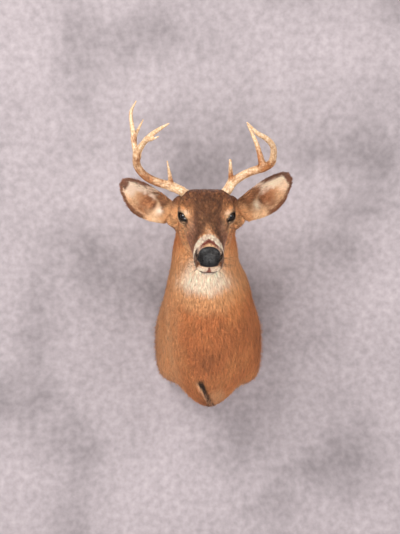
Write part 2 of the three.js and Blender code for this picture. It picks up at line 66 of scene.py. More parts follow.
# back from the nose tip: top, bottom and middle heights, half-width, squareness above and below
HEAD_SECTIONS = [
    (0, 33, 0, 18, 17, 2.4, 2.2),
    (6, 38, -12, 15, 24, 2.4, 2.0),
    (15, 42, -26, 11, 30, 2.2, 1.9),
    (26, 45, -35, 7, 34.5, 2.1, 1.9),
    (42, 48, -41, 6, 36.5, 2.0, 1.9),
    (70, 53, -44, 7, 37, 1.9, 1.9),
    (100, 59, -46, 10, 39, 1.9, 1.9),
    (130, 67, -49, 14, 43, 1.9, 1.9),
    (160, 80, -53, 24, 48, 2.0, 1.8),
    (188, 97, -58, 40, 57, 2.2, 1.7),
    (215, 107, -63, 50, 68, 3.0, 1.7),
    (240, 109.5, -64, 50, 66, 3.5, 1.8),
    (265, 105, -57, 48, 62, 3.4, 1.9),
    (290, 95, -42, 42, 55, 2.8, 2.0),
    (HEAD_LENGTH, 80, -18, 36, 45, 2.2, 2.0),
]
# swellings on each side of the head: middle and half-sizes along out, back and up
HEAD_BULGES = [
    ((50, 211, 61), (19, 30, 25)), ((60, 268, 48), (30, 27, 41)), ((78, 264, 27), (23, 25, 21)),
]
BULGE_BLEND = 14
# middle of the neck: x, y, z, half-depth and half-width
NECK = [
    (0, -9.5, -262, 276, 73, 66),
    (1, -11, -258, 237, 87, 76),
    (2, -12, -245, 188, 105, 85),
    (3, -12.5, -224, 140, 127, 90),
    (4, -8.5, -194, 92, 154, 104),
    (5, -4, -172, 55, 170, 117),
]
# lumps of the trunk: middle, half-sizes, squareness above and below
TRUNK = [
    ((-2, -130, -25), (115, 196, 177), 2, 1.75),
    ((62, -72, -26), (76, 152, 122), 2.3, 3.8),
    ((-66, -72, -18), (77, 152, 124), 2.3, 3.8),
    ((-4, -40, 58), (96, 112, 90), 2, 2),
]
BLEND, THROAT_BLEND, SHARE_BLEND = 36, 34, 60
HEAD_REAR = -215  # nothing of the head lies behind this y
BODY_MIDDLE = -6  # x of the middle of the neck and trunk
HIDE_REAR = -2.4  # the hide's edge against the wall
BODY_COAT = 9.0  # how deep the hide lies under the tips of the coat
# the same on the head, by the distance back from the nose tip
HEAD_COAT = [
    (0, 0.5), (12, 0.9), (28, 1.6), (60, 2.0), (120, 2.6), (180, 3.4), (230, 5.0), (300, 7.5),
]

EYE_AT, EYE_RADIUS = np.array([50.0, 196.0, 54.0]), 17.0
EYE_GAZE = np.array([0.66, -0.72, 0.24])
EYE_TILT = math.radians(23)  # the inner corner lies this much lower
LID_LENGTH, LID_RISE, LID_DROP = 15.5, 7.2, 6.8  # half-length of the opening and its two arches
LID_THICKNESS = 2.5
TEAR_LINE = ((184, 46), (157, 31))  # groove from the inner corner: back and up at both ends
MOUTH = (-24.5, 0.113, 92)  # height of its line at the nose, its rise and its length
NOSTRIL = [((19, 5.5, 9), 4.6), ((24.5, 9, 13), 4.0), ((27.5, 15, 19), 2.6), ((27, 20, 24), 1.4)]
PEDICLES, PEDICLE_RADIUS = ((-44, -318, 331), (24, -318, 331)), 17  # knobs that carry the antlers
PARTING = ((-22, -114), (9, -188))  # of the hair on the brisket: x and z at both ends
PARTING_WIDTH, PARTING_DEPTH, PARTING_REAR = 4, 3.5, -150
FRONT_CUT, FRONT_ROUNDING = 0.6, 9  # the head's front end is flat here, with this round edge
EYE_GAP = 0.15  # between the glass and the hide
# round edges and fillets of the lids, the eye's socket, the nostrils and the pedicles
LID_EDGE, LID_BLEND, SOCKET_EDGE, NOSTRIL_EDGE, PEDICLE_BLEND = 1.6, 8, 0.5, 2, 12

# relief of the hide in the head's own directions: depth, middle and half-sizes
RELIEF = [
    (-2.8, (46, 206, 85), (14, 20, 8)),  # brow
    (2.4, (58, 236, 74), (10, 12, 16)),  # temple
    (-2.0, (46, 158, 16), (12, 32, 8)),  # cheekbone
    (2.6, (38, 120, 36), (11, 28, 12)),  # hollow in front of the eye
    (-3.4, (54, 232, -8), (18, 28, 28)),  # muscle of the jaw
    (1.7, (34, 58, 12), (10, 20, 14)),  # behind the nostril
    (-2.0, (31, 18, 12), (6, 8, 9)),  # wing of the nostril
    (-1.5, (24, 22, -16), (10, 15, 6)),  # upper lip
    (1.6, (0, 170, 92), (16, 26, 12)),  # dish between the eyes
    (-1.4, (0, 120, 66), (12, 44, 10)),  # bridge of the nose
    (2.0, (0, 60, -42), (12, 60, 10)),  # between the two sides of the jaw
]

# ---- Small helpers --------------------------------------------------------------------------


def unit(v):
    v = np.asarray(v, float)
    return v / np.linalg.norm(v)


def units(v):
    return v / np.maximum(np.linalg.norm(v, axis=1), 1e-9)[:, None]


def smooth(t):
    t = np.clip(t, 0.0, 1.0)
    return t * t * (3 - 2 * t)


def ramp(value, low, high):
    """0 below low, 1 above high and a smooth step between; falls instead if low is above high."""
    return smooth((value - low) / (high - low))


def hump(*shares):
    """1 in the middle and 0 far away, where each share is a distance over its half-size."""
    return np.exp(-sum(s * s for s in shares))


def fine_table(rows, steps=16):
    """The rows with steps between them on smooth curves, as columns for np.interp."""
    rows = np.array(rows, float)
    at = rows[:, 0]
    slope = np.empty_like(rows)
    slope[1:-1] = (rows[2:] - rows[:-2]) / (at[2:] - at[:-2])[:, None]
    slope[0] = (rows[1] - rows[0]) / (at[1] - at[0])
    slope[-1] = (rows[-1] - rows[-2]) / (at[-1] - at[-2])
    out = []
    for i in range(len(rows) - 1):
        t = np.linspace(0, 1, steps, endpoint=i == len(rows) - 2)[:, None]
        span = at[i + 1] - at[i]
        curved = rows[i] * (2 * t**3 - 3 * t**2 + 1) + rows[i + 1] * (3 * t**2 - 2 * t**3)
        curved += span * (slope[i] * (t**3 - 2 * t**2 + t) + slope[i + 1] * (t**3 - t**2))
        curved[:, 0] = at[i] + span * t[:, 0]
        out.append(curved)
    return np.vstack(out).T


def blended(a, b, radius):
    """Smaller of two fields with a round fillet between them."""
    h = np.maximum(radius - np.abs(a - b), 0) / radius
    return np.minimum(a, b) - h * h * (radius / 4)


def carved(field, cut, radius):
    """A field with what is inside cut taken away, and a round edge."""
    return -blended(-field, cut, radius)


def lattice(p, seed=0.0):
    """Random number from 0 to 1 for each whole-number place."""
    n = np.sin(p @ np.array([12.9898, 78.233, 37.719]) + seed * 7.31) * 43758.5453
    return n - np.floor(n)


def noise(p, scale, seed=0.0):
    """Smooth random value from 0 to 1 that changes over about scale."""
    p = p / scale + 100.0
    base = np.floor(p)
    t = smooth(p - base)
    total = np.zeros(len(p))
    for corner in np.ndindex(2, 2, 2):
        weight = np.prod(np.where(corner, t, 1 - t), axis=1)
        total += weight * lattice(base + corner, seed)
    return total


# ---- Head, neck and trunk as one field ------------------------------------------------------

OUT = np.array([math.cos(YAW), math.sin(YAW), 0.0])
FORWARD = np.array(
    [math.sin(YAW) * math.cos(PITCH), -math.cos(YAW) * math.cos(PITCH), -math.sin(PITCH)]
)
UP = np.cross(FORWARD, OUT)
HEAD_AXES = np.array([OUT, -FORWARD, UP])
HEAD_TABLE = fine_table(HEAD_SECTIONS)
NECK_TABLE = fine_table(NECK, 5)


def in_head(p):
    """Places along out to the deer's left, back from the nose tip and up."""
    return (p - NOSE) @ HEAD_AXES.T


def from_head(q):
    return NOSE + np.asarray(q, float) @ HEAD_AXES


def mirrored(q):
    """Places of the deer's right side brought over to its left."""
    return np.column_stack([np.abs(q[:, 0]), q[:, 1], q[:, 2]])


def ellipsoid_field(d, size, power=2.0):
    flat = (np.abs(d[:, 0] / size[0]) ** power + np.abs(d[:, 2] / size[2]) ** power) ** (1 / power)
    share = np.maximum(np.hypot(flat, d[:, 1] / size[1]), 1e-6)
    return np.linalg.norm(d, axis=1) * (1 - 1 / share)


def head_field(q):
    out, back, up = np.abs(q[:, 0]), q[:, 1], q[:, 2]
    at = np.clip(back, 0, HEAD_LENGTH)
    top, bottom, mid, half, upper, lower = (np.interp(at, HEAD_TABLE[0], c) for c in HEAD_TABLE[1:])
    above = up > mid
    rise = np.where(above, (up - mid) / (top - mid), (mid - up) / (mid - bottom))
    power = np.where(above, upper, lower)
    share = np.maximum(((out / half) ** power + rise**power) ** (1 / power), 1e-6)
    field = np.hypot(out, up - mid) * (1 - 1 / share)
    beyond = np.maximum(back - HEAD_LENGTH, 0)
    rounded = np.hypot(np.maximum(field + POLL_ROUNDING, 0), beyond) - POLL_ROUNDING
    field = np.where(beyond > 0, rounded, field)
    for middle, size in HEAD_BULGES:
        field = blended(field, ellipsoid_field(mirrored(q) - middle, size), BULGE_BLEND)
    return field


def neck_at(z, column):
    """A value of the neck's sections at heights: 2 for its middle's y, 4 for its half-depth."""
    return np.interp(z, NECK_TABLE[3][::-1], NECK_TABLE[column][::-1])


def body_field(p):
    field = np.full(len(p), FAR)
    for x, y, z, depth, width in NECK_TABLE[1:].T:
        across = (p[:, 0] - x) * (depth / width)
        near = np.sqrt(across**2 + (p[:, 1] - y) ** 2 + (p[:, 2] - z) ** 2) - depth
        field = np.minimum(field, near)
    for middle, size, above, below in TRUNK:
        d = p - middle
        own = ellipsoid_field(d, size, above)
        if below != above:
            own = np.where(d[:, 2] > 0, own, ellipsoid_field(d, size, below))
        field = blended(field, own, BLEND)
    return field


def hide_field(p):
    """Distance outside the tips of the coat, and the head's share of that place."""
    body = body_field(p)
    head = np.full(len(p), FAR)
    near = p[:, 1] < HEAD_REAR
    head[near] = head_field(in_head(p[near]))
    return blended(body, head, THROAT_BLEND), smooth(0.5 + (body - head) / SHARE_BLEND)


def head_shares(p):
    """Which places may lie on the head, and the head's share of each."""
    near = p[:, 1] < HEAD_REAR
    share = np.zeros(len(p))
    share[near] = hide_field(p[near])[1]
    return near, share


def eye_frame():
    """Directions along the eye's opening, up across it and ahead, in the head's own directions."""
    gaze = unit(EYE_GAZE)
    level = unit(np.cross([0, 0, 1.0], gaze))
    level = level if level[1] < 0 else -level
    upright = np.cross(gaze, level)
    upright = upright if upright[2] > 0 else -upright
    along = math.cos(EYE_TILT) * level - math.sin(EYE_TILT) * upright
    return along, math.cos(EYE_TILT) * upright + math.sin(EYE_TILT) * level, gaze


EYE_AXES = np.array(eye_frame())


def eye_places(q):
    """Distance from the eye's middle, and places along its opening, up across it and ahead."""
    d = mirrored(q) - EYE_AT
    return (np.linalg.norm(d, axis=1), *(d @ EYE_AXES.T).T)


def lid_gap(along, across):
    """Below zero in the almond between the lids."""
    arch = 1 - (along / LID_LENGTH) ** 2
    corner = 1.6 * hump((along - LID_LENGTH - 1) / 3.5)
    return np.maximum(across - LID_RISE * arch - corner, -LID_DROP * arch - corner - across)


def segment_share(x, z, ends, width):
    """Distance to a line between two points over width, and how far along it, from 0 to 1."""
    (ax, az), (bx, bz) = ends
    dx, dz = bx - ax, bz - az
    t = np.clip(((x - ax) * dx + (z - az) * dz) / (dx * dx + dz * dz), 0, 1)
    return np.hypot(x - ax - dx * t, z - az - dz * t) / width, t


def mouth_height(q):
    """Height above the line of the mouth, and how much of the line there is at that place."""
    level, rise, length = MOUTH
    return q[:, 2] - level - rise * q[:, 1], ramp(q[:, 1], length, length - 12)


def head_relief(q):
    """How much deeper the hide lies for the folds and hollows of the head."""
    out, back, up = np.abs(q[:, 0]), q[:, 1], q[:, 2]
    depth = np.zeros(len(q))
    for amount, middle, size in RELIEF:
        depth += amount * hump(*((mirrored(q) - middle) / size).T)
    share, t = segment_share(back, up, TEAR_LINE, 2.6)
    depth += (3.4 - 1.6 * t) * hump(share) * (out > 20)
    above, line = mouth_height(q)
    groove, upper_lip = hump(above / 1.5), hump((above - 5) / 4)
    depth += line * (3.2 * groove - 0.9 * upper_lip)
    chin = ramp(above, 1, -3) * line
    depth += chin * (1.3 + 4.5 * ramp(back, 34, 10))
    cleft = hump(out / 1.6, (up + 15) / 9) * ramp(back, 20, 8)
    depth += 1.4 * cleft
    return depth


def coat_depth(q, head_share):
    """How far the hide lies inside the tips of the coat."""
    on_head = np.interp(q[:, 1], *np.array(HEAD_COAT).T)
    from_eye = eye_places(q)[0]
    on_head = on_head * np.clip((from_eye - EYE_RADIUS) / 24, 0.12, 1)
    return BODY_COAT + (on_head - BODY_COAT) * head_share


def nostril_gap(q):
    """Distance outside the nostril's curled hole, at places with their side taken away."""
    gap = np.full(len(q), FAR)
    for (a, ra), (b, rb) in zip(NOSTRIL[:-1], NOSTRIL[1:]):
        a, b = np.array(a, float), np.array(b, float)
        t = np.clip((q - a) @ (b - a) / ((b - a) @ (b - a)), 0, 1)
        off = np.linalg.norm(q - a - t[:, None] * (b - a), axis=1)
        gap = np.minimum(gap, off - ra - (rb - ra) * t)
    return gap


def skin_field(p):
    """Distance outside the hide, under the coat."""
    field, head_share = hide_field(p)
    q = in_head(p)
    near = p[:, 1] < HEAD_REAR
    depth = np.full(len(p), BODY_COAT)
    depth[near] = coat_depth(q[near], head_share[near])
    depth[near] += head_relief(q[near]) * ramp(head_share[near], 0.15, 0.7)
    share, _ = segment_share(p[:, 0], p[:, 2], PARTING, PARTING_WIDTH)
    field = field + depth + PARTING_DEPTH * hump(share) * (p[:, 1] < PARTING_REAR)
    q, head = q[near], field[near]
    head = carved(head, q[:, 1] - FRONT_CUT, FRONT_ROUNDING)
    from_eye, along, across, ahead = eye_places(q)
    head = blended(head, from_eye - EYE_RADIUS - LID_THICKNESS, LID_BLEND)
    head = carved(head, np.maximum(lid_gap(along, across), 3 - ahead), LID_EDGE)
    head = carved(head, from_eye - EYE_RADIUS - EYE_GAP, SOCKET_EDGE)
    head = carved(head, nostril_gap(mirrored(q)), NOSTRIL_EDGE)
    for foot in PEDICLES:
        knob = np.linalg.norm(p[near] - foot, axis=1) - PEDICLE_RADIUS
        head = blended(head, knob, PEDICLE_BLEND)
    field[near] = head
    return np.maximum(field, p[:, 1] - HIDE_REAR)


# ---- From fields to meshes ------------------------------------------------------------------


def slopes(field, p, step=0.25):
    """Field and its gradient at places."""
    here = field(p)
    parts = [(field(p + step * axis) - field(p - step * axis)) / (2 * step) for axis in np.eye(3)]
    return here, np.column_stack(parts)


def settle(p, field, rounds=3, furthest=2.0):
    """Moves places onto the field's surface."""
    for _ in range(rounds):
        here, slope = slopes(field, p)
        step = here[:, None] * slope / np.maximum((slope**2).sum(1), 0.04)[:, None]
        length = np.maximum(np.linalg.norm(step, axis=1), 1e-9)
        p = p - step * np.minimum(1, furthest / length)[:, None]
    return p


def spaced(*runs):
    """Grid lines from runs of (start, end, spacing)."""
    lines = [np.linspace(a, b, max(int(round((b - a) / s)), 1), endpoint=False) for a, b, s in runs]
    return np.append(np.concatenate(lines), runs[-1][1])


def net_surface(axes, field):
    """Quads over the surface of a field, with one vertex in each cell of the grid it crosses."""
    shape = tuple(len(a) for a in axes)
    values = np.empty(shape)
    flat = np.array(np.meshgrid(axes[0], axes[2], indexing="ij")).reshape(2, -1)
    for j, y in enumerate(axes[1]):
        p = np.column_stack([flat[0], np.full(flat.shape[1], y), flat[1]])
        values[:, j, :] = field(p).reshape(shape[0], shape[2])
    inside = values < 0
    low, high = slice(None, -1), slice(1, None)
    ends = (low, high)
    count = sum(inside[i, j, k].astype(np.int8) for i in ends for j in ends for k in ends)
    cells = np.argwhere((count > 0) & (count < 8))
    index = np.full(tuple(n - 1 for n in shape), -1, np.int64)
    index[tuple(cells.T)] = np.arange(len(cells))
    total, hits = np.zeros((len(cells), 3)), np.zeros(len(cells))
    for axis in range(3):
        others = [i for i in range(3) if i != axis]
        for corner in np.ndindex(2, 2):
            start = cells.copy()
            start[:, others] += corner
            end = start.copy()
            end[:, axis] += 1
            v0, v1 = values[tuple(start.T)], values[tuple(end.T)]
            crossed = (v0 < 0) != (v1 < 0)
            t = (v0 / np.where(crossed, v0 - v1, 1))[:, None]
            a = np.column_stack([axes[i][start[:, i]] for i in range(3)])
            b = np.column_stack([axes[i][end[:, i]] for i in range(3)])
            total[crossed] += (a + (b - a) * t)[crossed]
            hits[crossed] += 1
    quads = []
    for axis in range(3):
        b, c = (axis + 1) % 3, (axis + 2) % 3
        first = [slice(1, n - 1) for n in shape]
        second = list(first)
        first[axis], second[axis] = slice(0, shape[axis] - 1), slice(1, shape[axis])
        v0, v1 = inside[tuple(first)], inside[tuple(second)]
        edges = np.argwhere(v0 != v1)
        outward = v0[tuple(edges.T)]
        cell = edges.copy()
        cell[:, b] += 1
        cell[:, c] += 1
        ring = []
        for db, dc in ((-1, -1), (0, -1), (0, 0), (-1, 0)):
            place = cell.copy()
            place[:, b] += db
            place[:, c] += dc
            ring.append(index[tuple(place.T)])
        ring = np.column_stack(ring)
        ring[~outward] = ring[~outward][:, ::-1]
        quads.append(ring)
    return total / hits[:, None], np.vstack(quads)


def relaxed(p, faces):
    """Each vertex half of the way to the mean of its neighbours."""
    a = np.concatenate([faces[:, i] for i in range(4)])
    b = np.concatenate([faces[:, (i + 1) % 4] for i in range(4)])
    near = np.bincount(a, minlength=len(p))
    mean = np.column_stack([np.bincount(a, p[b, i], len(p)) for i in range(3)])
    back = np.bincount(b, minlength=len(p))
    mean += np.column_stack([np.bincount(b, p[a, i], len(p)) for i in range(3)])
    return p + 0.5 * (mean / (near + back)[:, None] - p)


def linked(name, data):
    """An object for a mesh, lamp or camera, in the scene."""
    obj = bpy.data.objects.new(name, data)
    bpy.context.scene.collection.objects.link(obj)
    return obj


def made_from(name, points, faces):
    """A mesh object from lists of points in millimetres and of faces with any number of corners."""
    mesh = bpy.data.meshes.new(name)
    mesh.from_pydata((points * MM).tolist(), [], faces)
    return linked(name, mesh)


def set_points(mesh, points):
    mesh.vertices.foreach_set("co", (points * MM).astype(np.float32).ravel())
    mesh.update()


def add_values(layers, name, kind, key, values):
    """A layer of numbers on the points of a mesh."""
    layer = layers.new(name, kind, "POINT")
    layer.data.foreach_set(key, np.asarray(values, np.float32).ravel())


def add_coat_colour(mesh, tones):
    values = np.ones((len(tones), 4), np.float32)
    values[:, :3] = np.clip(tones, 0, 1)
    add_values(mesh.color_attributes, "coat_colour", "FLOAT_COLOR", "color", values)


def vertex_normals(mesh):
    normals = np.empty(len(mesh.vertices) * 3, np.float32)
    mesh.vertices.foreach_get("normal", normals)
    return normals.reshape(-1, 3)


def shade_smooth(mesh):
    mesh.polygons.foreach_set("use_smooth", np.ones(len(mesh.polygons), bool))


def new_mesh(name, points, faces):
    """A smooth mesh object from arrays of points in millimetres and of faces."""
    mesh = bpy.data.meshes.new(name)
    mesh.vertices.add(len(points))
    mesh.vertices.foreach_set("co", (points * MM).astype(np.float32).ravel())
    mesh.loops.add(faces.size)
    mesh.loops.foreach_set("vertex_index", faces.astype(np.int32).ravel())
    mesh.polygons.add(len(faces))
    starts = np.arange(0, faces.size, faces.shape[1], dtype=np.int32)
    mesh.polygons.foreach_set("loop_start", starts)
    mesh.update(calc_edges=True)
    shade_smooth(mesh)
    return linked(name, mesh)


def turned_out(obj):
    """Doubled points merged and faces turned to point outwards."""
    work = bmesh.new()
    work.from_mesh(obj.data)
    bmesh.ops.remove_doubles(work, verts=work.verts, dist=1e-6)
    bmesh.ops.recalc_face_normals(work, faces=work.faces)
    work.to_mesh(obj.data)
    work.free()
    return obj


def mesh_points(mesh):
    flat = np.empty(len(mesh.vertices) * 3, np.float32)
    mesh.vertices.foreach_get("co", flat)
    return flat.reshape(-1, 3).astype(float) / MM


# ---- Ears -----------------------------------------------------------------------------------

# along the ear: drop of its middle, half-width, height of its back and of its hollow
EAR_STATIONS = [
    (0, 8, 27, 24, 22),
    (0.12, 11, 33, 29, 17),
    (0.27, 14, 38.5, 31, 0),
    (0.42, 15.5, 42, 31, -19),
    (0.58, 15, 42, 28, -22),
    (0.72, 12, 36.5, 21, -16),
    (0.84, 7, 28, 12.5, -8.5),
    (0.93, 4, 19.5, 6.5, -3),
    (1, 1, 6, 1.6, 1),
]
# root, tip and the way the hollow faces
EARS = {
    "right": ((-80, -292, 298), (-220, -304, 378), (-0.2, -1, -0.12)),
    "left": ((60, -292, 302), (198, -304, 393), (0.2, -1, -0.12)),
}
# depth of the coat behind, inside and at the sides, height of the rim and least thickness
EAR_BACK_COAT, EAR_INSIDE_COAT, EAR_SIDE_COAT, EAR_RIM, EAR_LEAST = 3.6, 4.2, 2.6, 1.0, 1.6
EAR_FOOT, EAR_REACH = 0.01, 0.965  # where the skin starts, and how much of the ear it covers
EAR_CUP, EAR_RIDGES, EAR_WAVE = 9, 1.1, 1.2  # depth of the opening, the ridges and the wavy rim
EAR_TABLE = fine_table(EAR_STATIONS)
SIDES = ("right", "left")
SIGN = {"right": -1, "left": 1}  # of x on each side


def ear_frame(side):
    """Root, length and the ear's own directions: along it, up across it and out of its hollow."""
    root, tip, facing = (np.array(v, float) for v in EARS[side])
    axis = unit(tip - root)
    front = unit(facing - axis * (facing @ axis))
    across = np.cross(axis, front)
    return root, np.linalg.norm(tip - root), axis, across if across[2] > 0 else -across, front


def ear_sizes(at):
    return [np.interp(at, EAR_TABLE[0], c) for c in EAR_TABLE[1:]]


def ear_skin(side, rings=58, sides=60):
    """Points and quads of an ear's skin, closed at both ends."""
    root, length, axis, across, front = ear_frame(side)
    turn = np.arange(sides) * 2 * math.pi / sides
    grid = np.meshgrid(np.linspace(0, 1, rings), turn, indexing="ij")
    at, angle = (v.ravel() for v in grid)
    drop, half, back, hollow = ear_sizes(at)
    s, face = np.cos(angle), np.sin(angle)
    girth = np.sin(np.clip(at, 0, 1) * math.pi)
    closing = np.minimum(1, girth * 4)
    arch = (1 - s * s) * np.where(at < 0.5, closing, 1)
    cup = EAR_CUP * hump((at - 0.24) / 0.12, (s + 0.1) / 0.6)
    ridges = EAR_RIDGES * np.sin(9.0 * s + 1.5) * hump((at - 0.5) / 0.28)
    front_height = (hollow - EAR_INSIDE_COAT * closing - cup + ridges) * arch
    back_height = -(back - EAR_BACK_COAT) * arch
    front_height = np.maximum(front_height, back_height + EAR_LEAST * arch)
    height = np.where(face >= 0, front_height, back_height) + EAR_RIM * face * closing
    width = np.maximum(half - EAR_SIDE_COAT, 0.3) * s * np.where(at < 0.5, closing, 1)
    wave = EAR_WAVE * np.sin(at * 17) * s**2 * (at > 0.3)
    points = (
        root
        + np.outer(length * (EAR_FOOT + EAR_REACH * at), axis)
        + np.outer(width - drop * 0.98, across)
        + np.outer(height + wave * closing, front)
    )
    for end in (points[:sides], points[-sides:]):
        end[:] = end.mean(0)
    i, j = np.meshgrid(np.arange(rings - 1), np.arange(sides), indexing="ij")
    a, b = i * sides + j, i * sides + (j + 1) % sides
    quads = np.column_stack([v.ravel() for v in (a, b, b + sides, a + sides)])
    return points, quads


def ear_place(side, p):
    """Where places lie on an ear: along it, across it from -1 to 1, and out of its hollow."""
    root, length, axis, across, front = ear_frame(side)
    d = p - root
    at = np.clip((d @ axis) / length, 0, 1)
    drop, half, back, hollow = ear_sizes(at)
    s = np.clip((d @ across + drop) / np.maximum(half, 1), -1, 1)
    middle = (hollow - back) / 2 * (1 - s * s)
    return at, s, d @ front - middle


# ---- Markings -------------------------------------------------------------------------------


def colour(code):
    """Linear colour from six hexadecimal digits."""
    c = np.array([int(code[i : i + 2], 16) for i in (0, 2, 4)]) / 255
    return np.where(c <= 0.04045, c / 12.92, ((c + 0.055) / 1.055) ** 2.4)


INK = {
    name: colour(code)
    for name, code in {
        "russet": "b06d42",
        "orange": "c08250",
        "fawn": "cb9d72",
        "dorsal": "6f4127",
        "umber": "502b18",
        "dark": "3a2317",
        "black": "17110d",
        "mauve": "80543f",
        "bridge": "55331f",
        "chevron": "77392b",
        "cream": "e2c7af",
        "pale": "d9b089",
        "white": "ebd4bf",
        "grey": "8d7462",
        "hide": "b8926e",
        "rim": "673824",
    }.items()
}


def mixed(a, b, share):
    return a + (b - a) * np.clip(share, 0, 1)[:, None]


class Paint:
    """Colour at places, with inks laid over each other."""

    def __init__(self, inks, ground):
        self.inks, self.colour = inks, ground

    def lay(self, ink, share):
        """Covers a share of the colour with an ink, given by name or as a colour."""
        over = self.inks[ink] if isinstance(ink, str) else ink
        self.colour = mixed(self.colour, over, share)


def paint_body(p, inks):
    """Colour of the neck and trunk, with painted light on the right side and under the head and
    painted shade on the chest.
    """
    x, y, z = p.T
    streak = noise(p * np.array([1, 1, 0.22]), 7, 3) - 0.5
    cloud = noise(p, 55, 5) - 0.5
    base = Paint(inks, inks["russet"])
    base.lay("orange", 0.55 * ramp(cloud + streak * 0.6, -0.1, 0.45))
    base.lay("dorsal", 0.35 * ramp(-cloud + streak * 0.8, 0.05, 0.5))
    # painted shade: darker patches on the middle of the chest and on its left side
    base.lay("dorsal", 0.4 * hump((x - 12) / 46, (z + 24) / 62) * (0.6 + streak))
    base.lay("dorsal", 0.15 * hump((x - 66) / 34, (z - 10) / 50) * (0.6 + streak))
    behind = (y - neck_at(z, 2)) / neck_at(z, 4)
    base.lay("dorsal", 0.75 * ramp(behind + streak * 0.3, 0.35, 1.0) * ramp(z, 20, 90))
    front = ramp(y, -150, -230)
    ragged = 0.22 * streak + 0.16 * (noise(p, 16, 8) - 0.5)
    throat = np.hypot((x + 14) / 60, (z - 142) / np.where(z > 142, 56, 34)) + 1.3 * ragged
    throat_rim = np.hypot((x + 14) / 84, (z - 130) / np.where(z > 130, 84, 66)) + ragged
    base.lay("fawn", 0.7 * ramp(throat_rim, 1.15, 0.6) * front)
    # paler front of the neck under the head: partly its own paler hair, partly painted light over
    # the shade of the head
    pale_and_lit_neck = np.hypot((x + 8) / 120, (z - 158) / 92) + ragged
    base.lay("orange", 0.6 * ramp(pale_and_lit_neck, 1.2, 0.7) * ramp(y, -120, -190))
    base.lay("fawn", 0.4 * ramp(pale_and_lit_neck, 1.1, 0.6) * ramp(y, -120, -190))
    lit_side = ramp(x, -50, -104) * ramp(z, -185, -130) * ramp(z, 150, 90)
    base.lay("orange", 0.7 * lit_side)
    base.lay("pale", 0.3 * lit_side * (0.8 + streak) * ramp(y, -60, -120))
    base.lay("cream", ramp(throat, 1.25, 0.45) * front)
    for middle in (-55, 78):
        pale_patch = np.hypot((x - middle) / 24, (z + 134) / 13) + ragged
        base.lay("pale", 0.8 * ramp(pale_patch, 1.2, 0.6) * hump((y + 96 + 60 * ragged) / 52))
    from_parting, t = segment_share(x, z, PARTING, 1)
    wide = 10.5 - 2.5 * t + 4 * streak
    pale_side = segment_share(x + 10, z, PARTING, 8)[0] + ragged
    base.lay("pale", 0.6 * ramp(pale_side, 1.2, 0.5) * ramp(y, -140, -180))
    whorl = np.hypot((x - 24) / 26, (z + 152) / 30) + ragged
    base.lay("fawn", 0.5 * ramp(whorl, 1.1, 0.5) * ramp(y, -120, -160))
    # painted shade: a black line down the hair's parting on the brisket, the dark of its crevice
    base.lay("black", 0.95 * ramp(from_parting - wide, 2.0, -1.0) * ramp(y, -140, -180))
    base.lay("dorsal", 0.6 * ramp(z, -150, -195) * ramp(noise(p, 12, 4), 0.3, 0.7))
    return base.colour


